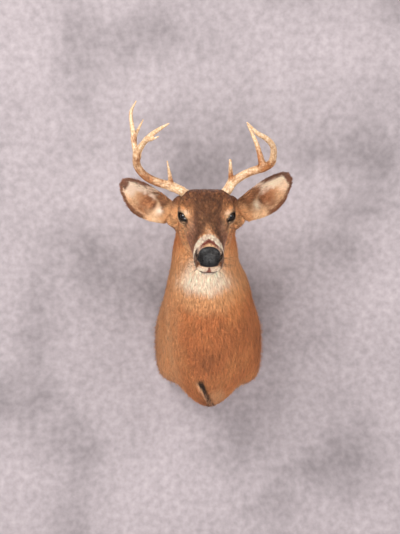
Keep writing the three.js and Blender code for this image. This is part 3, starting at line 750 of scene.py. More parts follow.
def paint_head(p, q, inks):
    """Colour of the face, crown, cheeks and chin, with painted highlights on the crown and muzzle
    and painted shade round the nostrils and mouth.
    """
    out, back, up = np.abs(q[:, 0]), q[:, 1], q[:, 2]
    mid = np.interp(back, HEAD_TABLE[0], HEAD_TABLE[3])
    speck = noise(p, 3.2, 11)
    fleck = noise(p, 4.4, 14)
    patch = noise(p, 17, 12) - 0.5
    over = up - mid
    c = Paint(inks, 0.7 * inks["orange"] + 0.3 * inks["fawn"])
    c.lay("russet", 0.6 * ramp(patch, -0.2, 0.4))
    c.lay("mauve", 0.92 * ramp(back, 196, 132) * ramp(up, -16, 2) * ramp(out, 12, 26))
    c.lay("fawn", 0.8 * ramp(up, 2, -22) * ramp(back, 215, 150))
    # crown and forehead, speckled
    crown = ramp(back + 8 * patch, 158, 202) * ramp(over + 5 * patch, 0, 20)
    c.lay("dorsal", 0.95 * crown)
    c.lay("umber", crown * (0.12 + 0.8 * ramp(speck, 0.42, 0.58)))
    c.lay("orange", 0.6 * crown * ramp(fleck, 0.56, 0.7) * ramp(back, 262, 200))
    c.lay("dark", 0.6 * ramp(back, 226, 262) * ramp(over, 30, 58) * ramp(out, 70, 46))
    # painted highlight: a lighter streak along the right side of the crown
    c.lay("fawn", 0.5 * hump((q[:, 0] + 66) / 9, (back - 232) / 24, (up - 84) / 12))
    c.lay("umber", 0.7 * ramp(out, 60, 76) * ramp(over, 8, 20))
    root = ramp(out, 58, 72) * ramp(over, 22, 6)
    c.lay("fawn", 0.5 * root)
    c.lay("dorsal", 0.65 * root * ramp(fleck, 0.52, 0.68))
    # dark band down the bridge, parting in two arms round the muzzle
    wide = np.interp(back, [60, 95, 130, 165, 200], [30, 26, 26, 30, 42]) + 7 * patch
    band = ramp(out - wide, 6, -6) * ramp(back, 62, 84) * ramp(back, 225, 185) * ramp(over, 8, 24)
    inside = out - np.interp(back, [60, 100, 115], [18, 8, -4])
    arms = 1 - 0.6 * ramp(inside, 2, -6) * ramp(back, 116, 90)
    c.lay("bridge", 0.92 * band * arms * (1 - 0.25 * ramp(fleck, 0.55, 0.75)))
    peak = hump(out / (5 + 0.16 * np.maximum(104 - back, 0)), (back - 76) / 15) * (over > 0)
    c.lay("pale", 0.6 * ramp(peak + 1.1 * (speck - 0.5), 0.3, 0.9))
    low_arm = ramp(back, 52, 66) * ramp(back, 118, 92) * ramp(np.abs(out - 29), 9, 2)
    low_arm *= ramp(up, 0, 14)
    c.lay("bridge", 0.65 * low_arm)
    # round the eye
    from_eye, along, across, ahead = eye_places(q)
    ring = np.hypot(along / 1.35, across)
    ahead_of_eye = 1 - 0.6 * ramp(along, 2, -14)
    c.lay("pale", 0.8 * ramp(from_eye, 31, 22) * ramp(ring, 22, 15) * ahead_of_eye)
    c.lay("orange", 0.85 * hump((along + 8) / 12, (across - 17) / 4) * (ahead > 0))
    c.lay("cream", 0.7 * hump((along - 8) / 8, (across - 14) / 3.5) * (ahead > 0))
    c.lay("fawn", 0.7 * hump((out - 45) / 8, (back - 171) / 13, (up - 58) / 11))
    c.lay("fawn", 0.85 * hump((out - 53) / 13, (back - 172) / 20, (up - 28) / 10))
    c.lay("pale", 0.3 * hump((out - 36) / 6, (back - 142) / 34, (up - 46) / 12))
    from_tear, t = segment_share(back, up, TEAR_LINE, 1)
    c.lay("dark", 0.9 * ramp(from_tear, 5, 1.5) * (out > 20) * (1 - 0.5 * t))
    c.lay("dark", 0.95 * ramp(hump((along - 21) / 8.5, across / 7), 0.25, 0.7) * (ahead > 0))
    lids = ramp(lid_gap(along, across), 4.2, 2.4) * ramp(from_eye, 25, 21.5)
    c.lay("black", lids * (ahead > 0))
    # muzzle: white band, dark chevron and a painted highlight along its front edge
    band_rear = 65 - 0.009 * out**2 + 9 * patch
    rear_edge, front_edge = 42 - 1.0 * out + 3 * patch, 23 - 0.6 * out
    white = ramp(back, band_rear + 4, band_rear - 5) * ramp(back, rear_edge - 3, rear_edge + 2)
    c.lay("cream", white * ramp(up, 2, 12))
    side_white = ramp(back, 68, 52) * ramp(back, 24, 32) * ramp(out, 24, 31)
    c.lay("cream", 0.95 * side_white * ramp(up, -26, -12))
    angle = ramp(back, rear_edge + 2, rear_edge - 2)
    angle *= ramp(back, front_edge - 1.5, front_edge + 1.5)
    c.lay("chevron", angle * ramp(out, 24, 19) * ramp(over, 1, 6))
    # painted highlight on the top of the muzzle just above the nose
    edge_highlight = ramp(back, front_edge + 1, front_edge - 1.5) * (over > 8) * ramp(out, 20, 14)
    c.lay("pale", 0.7 * edge_highlight)
    # wings of the nostrils, lips and chin
    far = np.hypot((back - 17) / 9, (up - 10) / 19)
    wing = ramp(far, 1.15, 0.8) * ramp(out, 21, 25)
    c.lay("umber", 0.9 * wing)
    c.lay("grey", 0.55 * ramp(far, 0.85, 0.5) * ramp(out, 25, 29) * ramp(speck, 0.3, 0.6))
    # painted shade: a dark ring in the crease round each nostril's wing
    rim = ramp(np.abs(far - 1.25), 0.38, 0.12) * ramp(out, 23, 27)
    c.lay("dark", 0.92 * rim * ramp(back, 6, 14) * ramp(back, 60, 30))
    above, line = mouth_height(q)
    lip = ramp(above, -0.5, 1.5) * ramp(above, 22, 14) * ramp(back, 84, 52)
    c.lay("cream", 0.95 * lip * ramp(wing + rim, 0.6, 0.1))
    groove = 9 - 0.45 * above
    cleft = ramp(out, groove + 2, groove - 2) * (above > -1) * ramp(back, 26, 17)
    c.lay("chevron", 0.95 * cleft)
    chin = ramp(above, 0.5, -1.5) * ramp(back, 132, 96)
    c.lay("white", 0.95 * chin * ramp(out, 40, 30))
    jaw = ramp(above, 0, -3) * hump((back - 66) / 15, (above + 9) / 9)
    c.lay("umber", 0.45 * jaw)
    c.lay("fawn", 0.5 * ramp(above, -4, -18) * ramp(back, 110, 160))
    # painted shadow of the lips: a dark band along the mouth's line; the black line inside it is
    # the lips' own skin
    c.lay("dark", 0.9 * ramp(np.abs(above + 1), 5.0, 2.6) * line)
    c.lay("black", ramp(np.abs(above), 2.2, 1.0) * line)
    to_nose = nose_edge(q)
    # painted highlight: a cream line along the sides of the nose's leather, on its wet edge
    c.lay("cream", 0.75 * hump((to_nose - 2.6) / 1.3) * ramp(up, 4, 10) * ramp(out, 12, 17))
    c.lay("black", ramp(to_nose, 1.5, 0))
    c.lay("black", ramp(nostril_gap(mirrored(q)), 2.6, 1.0))
    return c.colour


def nose_edge(q):
    """Below zero on the bare leather of the nose, in millimetres from its edge."""
    out, back, up = np.abs(q[:, 0]), q[:, 1], q[:, 2]
    side = 24.5 - 4.5 * ramp(up, 14, -6) - 3 * ramp(up, 24, 36)
    rear = back - 10.5 - 0.14 * np.maximum(up - 22, 0)
    return np.maximum.reduce([out - side, rear, -5.5 - up + 0.006 * out**2])


def paint_ear(side, p, inks):
    """Colour of an ear: brown behind, pale hair in the hollow with painted shade deep in it, and a
    dark rim.
    """
    at, s, ahead = ear_place(side, p)
    ragged = 0.3 * (noise(p, 6, 21) - 0.5)
    speck = noise(p, 3, 22)
    behind = Paint(inks, inks["dorsal"])
    behind.lay("umber", ramp(speck, 0.3, 0.7))
    behind.lay("dark", 0.85 * ramp(at + ragged, 0.72, 0.95))
    behind.lay("orange", 0.6 * ramp(s + ragged, -0.35, -0.8))
    cup = Paint(inks, inks["hide"])
    cup.lay("pale", ramp(speck, 0.25, 0.6))
    cup.lay("cream", 0.95 * ramp(s + 0.7 * ragged, 0.14, 0.3) * ramp(at, 0.36, 0.46))
    tip = 0.85 if side == "right" else 0.6
    cup.lay("cream", tip * ramp(np.hypot((at - 0.84) / 0.14, s / 0.8), 1.2, 0.5))
    # painted shade deep in the hollow: russet and brown in its middle
    hollow_shade = ramp(np.hypot((at - 0.53) / 0.22, (s + 0.02 + ragged) / 0.44), 1.15, 0.55)
    cup.lay("russet", 0.75 * hollow_shade * ramp(at, 0.8, 0.5))
    cup.lay("dorsal", 0.85 * hollow_shade * ramp(at, 0.76, 0.48) * ramp(speck, 0.2, 0.55))
    hollow_edge = hump((at - 0.37 - 0.12 * s * s) / 0.03, (s + 0.05 + 0.4 * ragged) / 0.45)
    cup.lay("umber", 0.9 * hollow_edge)
    cup.lay("dorsal", 0.9 * hump((at - 0.5) / 0.12, (s + 0.55 + ragged) / 0.2))
    cup.lay("dorsal", 0.3 * hump((at - 0.66) / 0.2, (s + 0.62 + ragged) / 0.3))
    cup.lay("white", 0.95 * hump((at - 0.25) / 0.06, (s + 0.14) / 0.3))
    cup.lay("pale", 0.3 * ramp(s + ragged, -0.55, -0.9) * ramp(at, 0.6, 0.4))
    fold = ramp(s + ragged - 0.5 * (at - 0.2), 0.3, 0.46) * ramp(at + 0.4 * ragged, 0.5, 0.4)
    cup.lay(mixed(inks["umber"], inks["russet"], ramp(speck, 0.35, 0.75)), 0.85 * fold)
    c = mixed(behind.colour, cup.colour, ramp(ahead, -0.6, 0.6))
    edge = np.maximum(np.abs(s), 0.3 + 0.7 * ramp(at, 0.79, 0.97)) + 0.16 * ragged
    inner = 0.72 - 0.17 * hump((at - 0.87) / 0.08)
    upper, lower = ramp(at, 0.46, 0.6), ramp(at, 0.32, 0.45)
    rim = ramp(edge, inner, inner + 0.12) * np.where(s > 0, upper, lower)
    return mixed(c, mixed(inks["rim"], inks["dark"], ramp(speck, 0.55, 0.85)), 0.92 * rim)


def markings(p, inks):
    """Colour of the hide and its coat at places, the same rule for both."""
    near, head_share = head_shares(p)
    c = paint_body(p, inks)
    q = in_head(p[near])
    c[near] = mixed(c[near], paint_head(p[near], q, inks), ramp(head_share[near], 0.25, 0.75))
    for side in SIDES:
        at = ear_place(side, p)[0]
        on_ear = ramp(at, 0.1, 0.2) * ((p[:, 0] + 10) * SIGN[side] > 70) * (p[:, 1] < -230)
        c = mixed(c, paint_ear(side, p, inks), on_ear)
    return c


# ---- Lie of the coat ------------------------------------------------------------------------


def coat_lie(p, normal):
    """Direction in which the hair points, along the surface."""
    q = in_head(p)
    out, back, up = q.T
    lie = np.tile([0.0, 0.32, -1.0], (len(p), 1))
    lie[:, 0] += 0.0025 * p[:, 0] * ramp(p[:, 2], -60, 40)
    low = ramp(p[:, 2], -70, -150) * ramp(p[:, 1], -120, -200)
    lie[:, 0] -= 0.006 * (p[:, 0] - BODY_MIDDLE) * low
    (top_x, top_z), (foot_x, foot_z) = PARTING
    parting = (p[:, 0] - np.interp(p[:, 2], [foot_z, top_z], [foot_x, top_x])) / 16
    lie[:, 0] -= 0.9 * parting * hump(parting) * ramp(p[:, 2], -95, -125)
    lie = mixed(lie, np.array([0.0, 0.9, -0.55]), ramp(p[:, 1], -170, -70))
    nape = ramp(p[:, 1] - neck_at(p[:, 2], 2), -10, 50)
    lie = mixed(lie, np.array([0.0, 0.75, -0.75]), nape * ramp(p[:, 2], 40, 120))
    side, ones = np.tanh(out / 14), np.ones(len(p))
    sideways = 0.25 * side * ramp(back, 90, 170) * ramp(back, 240, 190)
    along = np.column_stack([sideways, ones, -0.35 * ramp(up, 30, -30)])
    from_eye, _, across, _ = eye_places(q)
    away = np.column_stack([side * 0.2, ones * 0.7, 0.05 * across])
    along = mixed(along, away, ramp(from_eye, 48, 22))
    along[:, 2] += 0.35 * ramp(back, 190, 235) * ramp(up, 60, 90) * (1 - ramp(back, 260, 300))
    lie = mixed(lie, along @ HEAD_AXES, ramp(head_shares(p)[1], 0.3, 0.8))
    lie += 0.16 * (np.column_stack([noise(p, 26, s) for s in (31, 32, 33)]) - 0.5)
    lie -= normal * (lie * normal).sum(1)[:, None]
    return units(lie)


# ---- Tufts ----------------------------------------------------------------------------------

SPARE_PLACES = 2.2  # places tried for each one kept
CELL_CODE = np.array([1, 100003, 10000600009])  # tells the cells of a grid apart


def scattered(points, quads, weight, count, rng, spread=0.72):
    """Places on quads, as many as count and evenly spread, and the quad of each."""
    tris = np.vstack([quads[:, [0, 1, 2]], quads[:, [0, 2, 3]]])
    a, b, c = (points[tris[:, i]] for i in range(3))
    cross = np.cross(b - a, c - a)
    area = np.linalg.norm(cross, axis=1) * np.concatenate([weight, weight])
    many = int(count * SPARE_PLACES)
    pick = np.searchsorted(np.cumsum(area), rng.random(many) * area.sum())
    pick = np.minimum(pick, len(tris) - 1)
    u, v = rng.random((2, many))
    over = u + v > 1
    u[over], v[over] = 1 - u[over], 1 - v[over]
    places = a[pick] + (b - a)[pick] * u[:, None] + (c - a)[pick] * v[:, None]
    pitch = spread * math.sqrt(np.linalg.norm(cross, axis=1).sum() / 2 / count)
    cell = np.floor(places / pitch).astype(np.int64) @ CELL_CODE
    _, first = np.unique(cell, return_index=True)
    rest = np.setdiff1d(np.arange(many), first)
    keep = np.concatenate([rng.permutation(first), rng.permutation(rest)])[:count]
    return places[keep], pick[keep] % len(quads)


def body_map(p):
    """Places on an unwrap of the neck and trunk: half a turn round them, and down them."""
    middle = np.maximum(neck_at(p[:, 2], 2), NECK[-1][3])
    x, y = np.abs(p[:, 0] - BODY_MIDDLE), p[:, 1] - middle * ramp(p[:, 2], -60, 55)
    y = y + 100 * ramp(p[:, 2], 55, -60)
    return np.arctan2(x, -y) / math.pi, np.hypot(x, y)


def map_places(region, p):
    """Where roots lie on the unwrap of their own region of the hide."""
    if region.startswith("ear"):
        at, s, ahead = ear_place(region[4:], p)
        return np.column_stack([(s + 1) / 4 + 0.5 * (ahead < 0), at])
    if region == "head":
        q = in_head(p)
        rise = q[:, 2] - np.interp(q[:, 1], HEAD_TABLE[0], HEAD_TABLE[3])
        girth = np.hypot(q[:, 0], rise)
        turn = np.arctan2(np.abs(q[:, 0]), rise) / math.pi
        return np.column_stack([turn, (q[:, 1] + 0.7 * girth) / 400])
    turn, reach = body_map(p)
    if region == "neck":
        return np.column_stack([turn, (p[:, 2] - 10 + 0.7 * (140 - reach)) / 440])
    return np.column_stack([turn, (40 - p[:, 2] + 0.7 * (200 - reach)) / 400])


NECK_FOOT = 18  # the neck's coat begins above this height
# depth of the coat, and length and width of a tuft there
TUFT_SIZES = [
    (0.1, 2.2, 0.5), (0.5, 3.4, 0.6), (1, 4.8, 0.7), (2, 7.5, 0.85), (3.5, 11, 1.05),
    (7.5, 18, 1.3), (9, 24, 1.3),
]
TUFT_TABLE = np.array(TUFT_SIZES).T
TUFT_FACES = np.array([[0, 2, 3], [0, 3, 1], [0, 1, 2], [4, 3, 2], [4, 1, 3], [4, 2, 1]])
WALL_CLEARANCE = -0.4  # no hair reaches further back
ROOT_DEPTH, EAR_ROOT_DEPTH = 0.5, 0.4  # of a tuft's root under the skin
TUFT_PATCH = 0.0015  # half the width of a tuft's patch on the map
PATCH_SHAPE = np.array([[0, -1], [-0.8, 0], [0.8, 0], [0, 0.2], [0, 1]]) * TUFT_PATCH


def tuft_mesh(name, root, middle, tip, normal, lie, width, tint, shade, places, material):
    """One closed five-cornered lock of hair for each root, joined in one mesh with its colours."""
    count = len(root)
    side = units(np.cross(lie, normal))
    half = 0.5 * width[:, None]
    corners = np.stack(
        [root, middle - side * half, middle + side * half, middle + normal * half * 0.7, tip],
        axis=1,
    )
    faces = (TUFT_FACES[None] + 5 * np.arange(count)[:, None, None]).reshape(-1, 3)
    corners[:, :, 1] = np.minimum(corners[:, :, 1], WALL_CLEARANCE)
    obj = new_mesh(name, corners.reshape(-1, 3), faces)
    add_coat_colour(obj.data, (tint[:, None, :] * shade[None, :, None]).reshape(-1, 3))
    uv = obj.data.uv_layers.new(name="OFBake")
    spots = np.clip(places, 0.002, 0.998)[:, None, :] + PATCH_SHAPE[None]
    uv.data.foreach_set("uv", spots.reshape(-1, 2)[faces.ravel()].astype(np.float32).ravel())
    obj.data.materials.append(material)
    return obj


def on_height(p, height):
    """Places brought to a height above the hide."""
    for _ in range(2):
        here, slope = slopes(skin_field, p, 0.4)
        p = p - (here - height)[:, None] * slope / np.maximum((slope**2).sum(1), 0.1)[:, None]
    return p


def coat_regions(points, quads):
    """The region of the hide that each quad belongs to."""
    middle = points[quads].mean(1)
    _, share = head_shares(middle)
    region = np.where(share >= 0.5, "head", np.where(middle[:, 2] > NECK_FOOT, "neck", "shoulders"))
    side = np.where(middle[:, 0] < np.where(share >= 0.5, NOSE[0], BODY_MIDDLE), "right", "left")
    return np.char.add(np.char.add(region, "_"), side), middle, share


def coat_weight(middle, share):
    """How thickly the coat grows at places: thin by the eyes and nose, none on bare skin."""
    weight = np.ones(len(middle))
    near = middle[:, 1] < HEAD_REAR
    q = in_head(middle[near])
    depth = coat_depth(q, share[near])
    own = np.interp(depth, [0.4, 2, 6, 9], [2.3, 1.6, 1.0, 1.0])
    own[nose_edge(q) < 1.2] = 0
    own[bareness(middle[near]) > 0.6] = 0
    weight[near] = own
    weight[middle[:, 1] > -3.2] = 0
    return weight


def hide_coat(name, region, points, quads, weight, coat, inks, material, seed):
    """Coat of one region of the head, neck or trunk."""
    rng = np.random.default_rng(seed)
    root, _ = scattered(points, quads, weight, coat.tufts, rng)
    here, slope = slopes(skin_field, root)
    normal = units(slope)
    root = root - here[:, None] * normal
    lie = coat_lie(root, normal)
    q = in_head(root)
    near, share = head_shares(root)
    depth = np.full(len(root), BODY_COAT)
    depth[near] = coat_depth(q[near], share[near])
    r = rng.random((4, len(root)))
    long = np.interp(depth, TUFT_TABLE[0], TUFT_TABLE[1]) * coat.length * (0.75 + 0.5 * r[0])
    width = np.interp(depth, TUFT_TABLE[0], TUFT_TABLE[2]) * (coat.width * (0.8 + 0.4 * r[1]))
    middle = on_height(root + lie * (0.5 * long)[:, None], depth * 0.5)
    edge_hair = ramp(root[:, 1], -120, -60) * ramp(root[:, 2], -165, -110) * ramp(root[:, 2], 50, 0)
    under_ear = hump((np.abs(q[:, 0]) - 88) / 18, (q[:, 1] - 262) / 20, (q[:, 2] - 16) / 18)
    stands = rng.random(len(root)) < 0.05 + 0.3 * edge_hair
    proud = np.where(stands, 0.5 * r[2] + 0.3, 0) * (share < 0.5)
    proud = proud + 0.9 * edge_hair * r[2] ** 3 + 0.5 * under_ear * r[2]
    long = long * (1 + 0.5 * under_ear)
    combed = np.where(share[:, None] > 0.5, q * (1, 0.4, 1), root * (1, 1, 0.3))
    clump = noise(combed, 3.6, 51) - 0.5
    tip = on_height(root + lie * long[:, None], depth * (0.5 + 0.42 * r[2] + proud + 0.4 * clump))
    strayed = root + rng.normal(0, 1, root.shape) + lie * rng.normal(0, 2, len(root))[:, None]
    tint = markings(strayed, inks)
    spread = coat.variety * (r[3] - 0.5) * (1 + 0.5 * share) + (0.8 + 0.5 * share) * clump
    tint = tint * (coat.brightness + spread)[:, None]
    return tuft_mesh(
        name, root - normal * ROOT_DEPTH, middle, tip, normal, lie, width, tint, tuft_shade(coat),
        map_places(region, root), material,
    )


def tuft_shade(coat):
    """Lightness of a tuft's five corners, from its root to its tip."""
    return np.array([coat.root_shade, 0.96, 0.96, 1.0, coat.tip_shade])


def ear_coat(name, side, coat, inks, material, seed):
    """Coat of one ear: short behind, longer and paler in the hollow, and a fringe on its rim."""
    rng = np.random.default_rng(seed)
    points, quads = ear_skin(side)
    _, _, axis, across, _ = ear_frame(side)
    corners = points[quads]
    normals = units(np.cross(corners[:, 2] - corners[:, 0], corners[:, 3] - corners[:, 1]))
    at, s, _ = ear_place(side, corners.mean(1))
    weight = (at > 0.03) * (1 + 0.8 * (np.abs(s) > 0.8))
    root, quad = scattered(points, quads, weight, coat.tufts, rng, 0.6)
    normal = normals[quad]
    at, s, ahead = ear_place(side, root)
    inside = ramp(ahead, -0.5, 1)
    r = rng.random((5, len(root)))
    splay = np.where(inside > 0.5, -0.55 * s * ramp(at, 0.75, 0.3), 0.25 * s)
    edge = ramp(np.abs(s), 0.8, 0.97) + ramp(at, 0.93, 0.99)
    splay = splay + np.sign(s) * 0.8 * edge * ramp(at, 0.1, 0.3)
    lie = axis + splay[:, None] * across + 0.22 * rng.normal(0, 1, root.shape) * inside[:, None]
    lie = units(lie - 0.9 * normal * (lie * normal).sum(1)[:, None])
    long = np.where(inside > 0.5, 9 + 7 * ramp(s, 0.1, 0.5) * ramp(at, 0.85, 0.6), 6.0)
    long += 14 * hump((at - 0.18) / 0.12, (s - 0.1) / 0.7) * inside
    long = np.where(edge > 0.5, 5.5, long) * (0.7 + 0.6 * r[0]) * coat.length
    rise = np.where(inside > 0.5, 3.2 + 4 * hump((at - 0.18) / 0.12, (s - 0.1) / 0.7), 2.2)
    rise = np.where(edge > 0.5, 1.2, rise) * (0.55 + 0.6 * r[1])
    middle = root + lie * (0.5 * long)[:, None] + normal * (0.62 * rise)[:, None]
    tip = root + lie * long[:, None] + normal * rise[:, None]
    width = coat.width * (0.75 + 0.45 * r[2]) * np.where(inside > 0.5, 0.85, 1)
    tint = markings(root + rng.normal(0, 1.2, root.shape), inks)
    tint = tint * (coat.brightness + coat.variety * (r[3] - 0.5))[:, None]
    return tuft_mesh(
        name, root - normal * EAR_ROOT_DEPTH, middle, tip, normal, lie, width, tint,
        tuft_shade(coat), map_places("ear_" + side, root), material,
    )


# ---- Nose, eyes and antlers -----------------------------------------------------------------

PAD_STAND, PAD_DEPTH = 0.7, 4.0  # height of the leather above the hide, and its reach below
PAD_BOX, PAD_SPACING = ((-38, 32), (-545, -500), (150, 216)), 0.8
PEBBLE = 2.5


def pad_field(p):
    """Distance outside the nose's leather."""
    skin, edge = skin_field(p), nose_edge(in_head(p))
    proud = skin - PAD_STAND * ramp(edge, 0.2, -2.2)
    return np.maximum(carved(proud, -edge, 1.6), -skin - PAD_DEPTH)


def pebbles(p, size):
    """Height of small domes, from 0 in the creases to 1 on top."""
    p = p / size + 50.0
    base = np.floor(p)
    near = np.full(len(p), 9.0)
    for step in np.ndindex(3, 3, 3):
        cell = base + np.array(step) - 1
        seed = np.column_stack([lattice(cell, k) for k in (1, 2, 3)])
        near = np.minimum(near, ((cell + 0.15 + 0.7 * seed - p) ** 2).sum(1))
    return np.clip(1 - 1.7 * near, 0, 1)


def nose_mesh(name):
    """The nose's leather, with its pebbles and the groove down its middle."""
    axes = [spaced((low, high, PAD_SPACING)) for low, high in PAD_BOX]
    points, quads = net_surface(axes, pad_field)
    for _ in range(2):
        points = settle(relaxed(points, quads), pad_field, 1)
    obj = new_mesh(name, points, quads)
    q = in_head(points)
    out = np.abs(q[:, 0])
    outer = ramp(skin_field(points), -1, 0.2)
    height = 0.6 * pebbles(points, PEBBLE) * ramp(nose_edge(q), 0.4, -2) * outer
    groove = hump(out / 0.9) * ramp(q[:, 2], 16, 4) * outer
    set_points(obj.data, points + vertex_normals(obj.data) * (height - 0.9 * groove)[:, None])
    return obj


EYE_RINGS, EYE_SIDES = 40, 64
CORNEA_RISE, CORNEA_HALF = 0.9, 0.62  # extra height of the cornea, and its half-angle


def eye_mesh(name, side):
    """A glass eye, its rings running round the gaze, with each point's place on the iris."""
    polar = np.linspace(0, math.pi, EYE_RINGS)[1:-1]
    angle, turn = np.meshgrid(polar, np.arange(EYE_SIDES) * 2 * math.pi / EYE_SIDES, indexing="ij")
    a, c, g = np.sin(angle) * np.cos(turn), np.sin(angle) * np.sin(turn), np.cos(angle)
    place = np.column_stack([v.ravel() for v in (a, c, g)])
    place = np.vstack([[0, 0, 1], place, [0, 0, -1]])
    away = np.arccos(np.clip(place[:, 2], -1, 1))
    reach = EYE_RADIUS - 0.1 + CORNEA_RISE * ramp(away, CORNEA_HALF, 0.1)
    q = EYE_AT + reach[:, None] * (place @ EYE_AXES)
    q[:, 0] *= SIGN[side]
    rows = np.arange(EYE_RINGS - 3)[:, None] * EYE_SIDES + 1
    i = np.arange(EYE_SIDES)
    j = (i + 1) % EYE_SIDES
    corners = [rows + i, rows + EYE_SIDES + i, rows + EYE_SIDES + j, rows + j]
    quads = np.stack(corners, axis=-1).reshape(-1, 4)
    last, rear = len(place) - 1, 1 + (EYE_RINGS - 3) * EYE_SIDES
    caps = [(0, int(1 + k), int(1 + m)) for k, m in zip(i, j)]
    caps += [(last, int(rear + m), int(rear + k)) for k, m in zip(i, j)]
    obj = turned_out(made_from(name, from_head(q), quads.tolist() + caps))
    shade_smooth(obj.data)
    add_values(obj.data.attributes, "eye_place", "FLOAT_VECTOR", "vector", place)
    return obj


# each branch: points of its centre line and the radius at each of them
ANTLERS = {
    "right": {
        "beam": (
            [(-44, -318, 332), (-66, -316, 349), (-96, -312, 364), (-128, -318, 373),
             (-159, -332, 388), (-177, -354, 411), (-176, -378, 435), (-160, -405, 459),
             (-138, -430, 478), (-118, -447, 489), (-97, -462, 499)],
            [12.5, 11.5, 11, 10.5, 10, 9.5, 9.5, 7, 6, 4.6, 1.6],
        ),
        "brow_tine": ([(-95, -313, 362), (-99, -326, 390), (-105, -334, 424)], [7.5, 4.6, 1.6]),
        "back_tine": (
            [(-176, -376, 432), (-183, -374, 462), (-188, -366, 500), (-192, -358, 540),
             (-180, -352, 568)],
            [8.2, 6.8, 5.6, 4.6, 1.6],
        ),
        "tine_fork": ([(-184, -372, 474), (-175, -356, 498), (-163, -346, 524)], [5, 3.8, 1.4]),
        "spur": ([(-150, -417, 467), (-138, -430, 466), (-122, -442, 471)], [4.8, 3.8, 1.5]),
    },
    "left": {
        "beam": (
            [(24, -318, 332), (42, -316, 353), (55, -313, 373), (76, -314, 388), (103, -324, 400),
             (129, -340, 407), (147, -360, 416), (152, -384, 435), (148, -404, 454),
             (133, -423, 468), (110, -441, 479), (85, -462, 501)],
            [12.5, 11.5, 11, 10.5, 10, 10.5, 9.5, 8.2, 7.4, 6.6, 5.4, 1.8],
        ),
        "brow_tine": ([(52, -312, 374), (50, -326, 402), (49, -334, 426)], [7.5, 5, 3.4]),
        "back_tine": (
            [(128, -340, 410), (120, -350, 441), (112, -352, 466), (103, -350, 487),
             (91, -345, 511)],
            [9.5, 6.4, 5.4, 4.2, 1.7],
        ),
    },
}
BURR_RADIUS, BURR_HEIGHT, BURR_AT = 16.5, 9.5, 0.42
FORK_WEB = 7
# brown stain on the antlers: middle, reach and strength
STAINS = {
    "right": [((-158, -335, 392), 34, 1.0), ((-176, -366, 424), 22, 0.8),
              ((-98, -322, 380), 16, 0.8), ((-128, -318, 380), 22, 0.5),
              ((-184, -368, 468), 16, 0.5)],
    "left": [((134, -346, 414), 30, 1.0), ((108, -328, 404), 22, 0.5), ((52, -322, 392), 22, 0.7),
             ((116, -352, 452), 22, 0.45), ((34, -317, 344), 18, 0.5)],
}


def between(t, start, end, a, b):
    """From a at t = start to b at t = end on a straight line."""
    return ((end - t) * a + (t - start) * b) / (end - start)


def curve_samples(points, radii, step=5.0):
    """Places about step apart on a smooth curve through points, with their radii."""
    p = np.array(points, float)
    p = np.vstack([2 * p[0] - p[1], p, 2 * p[-1] - p[-2]])
    places, sizes = [], []
    for i in range(1, len(p) - 2):
        knots = np.cumsum([0] + [np.linalg.norm(p[i + k] - p[i + k - 1]) ** 0.5 for k in (0, 1, 2)])
        count = max(int(np.linalg.norm(p[i + 1] - p[i]) / step), 2)
        for t in np.linspace(knots[1], knots[2], count, endpoint=False):
            low = [between(t, knots[k], knots[k + 1], p[i - 1 + k], p[i + k]) for k in (0, 1, 2)]
            mid = [between(t, knots[k], knots[k + 2], low[k], low[k + 1]) for k in (0, 1)]
            share = (t - knots[1]) / (knots[2] - knots[1])
            places.append(mid[0] + (mid[1] - mid[0]) * share)
            sizes.append(radii[i - 1] + (radii[i] - radii[i - 1]) * share)
    return np.vstack([places, p[-2]]), np.append(sizes, radii[-1])


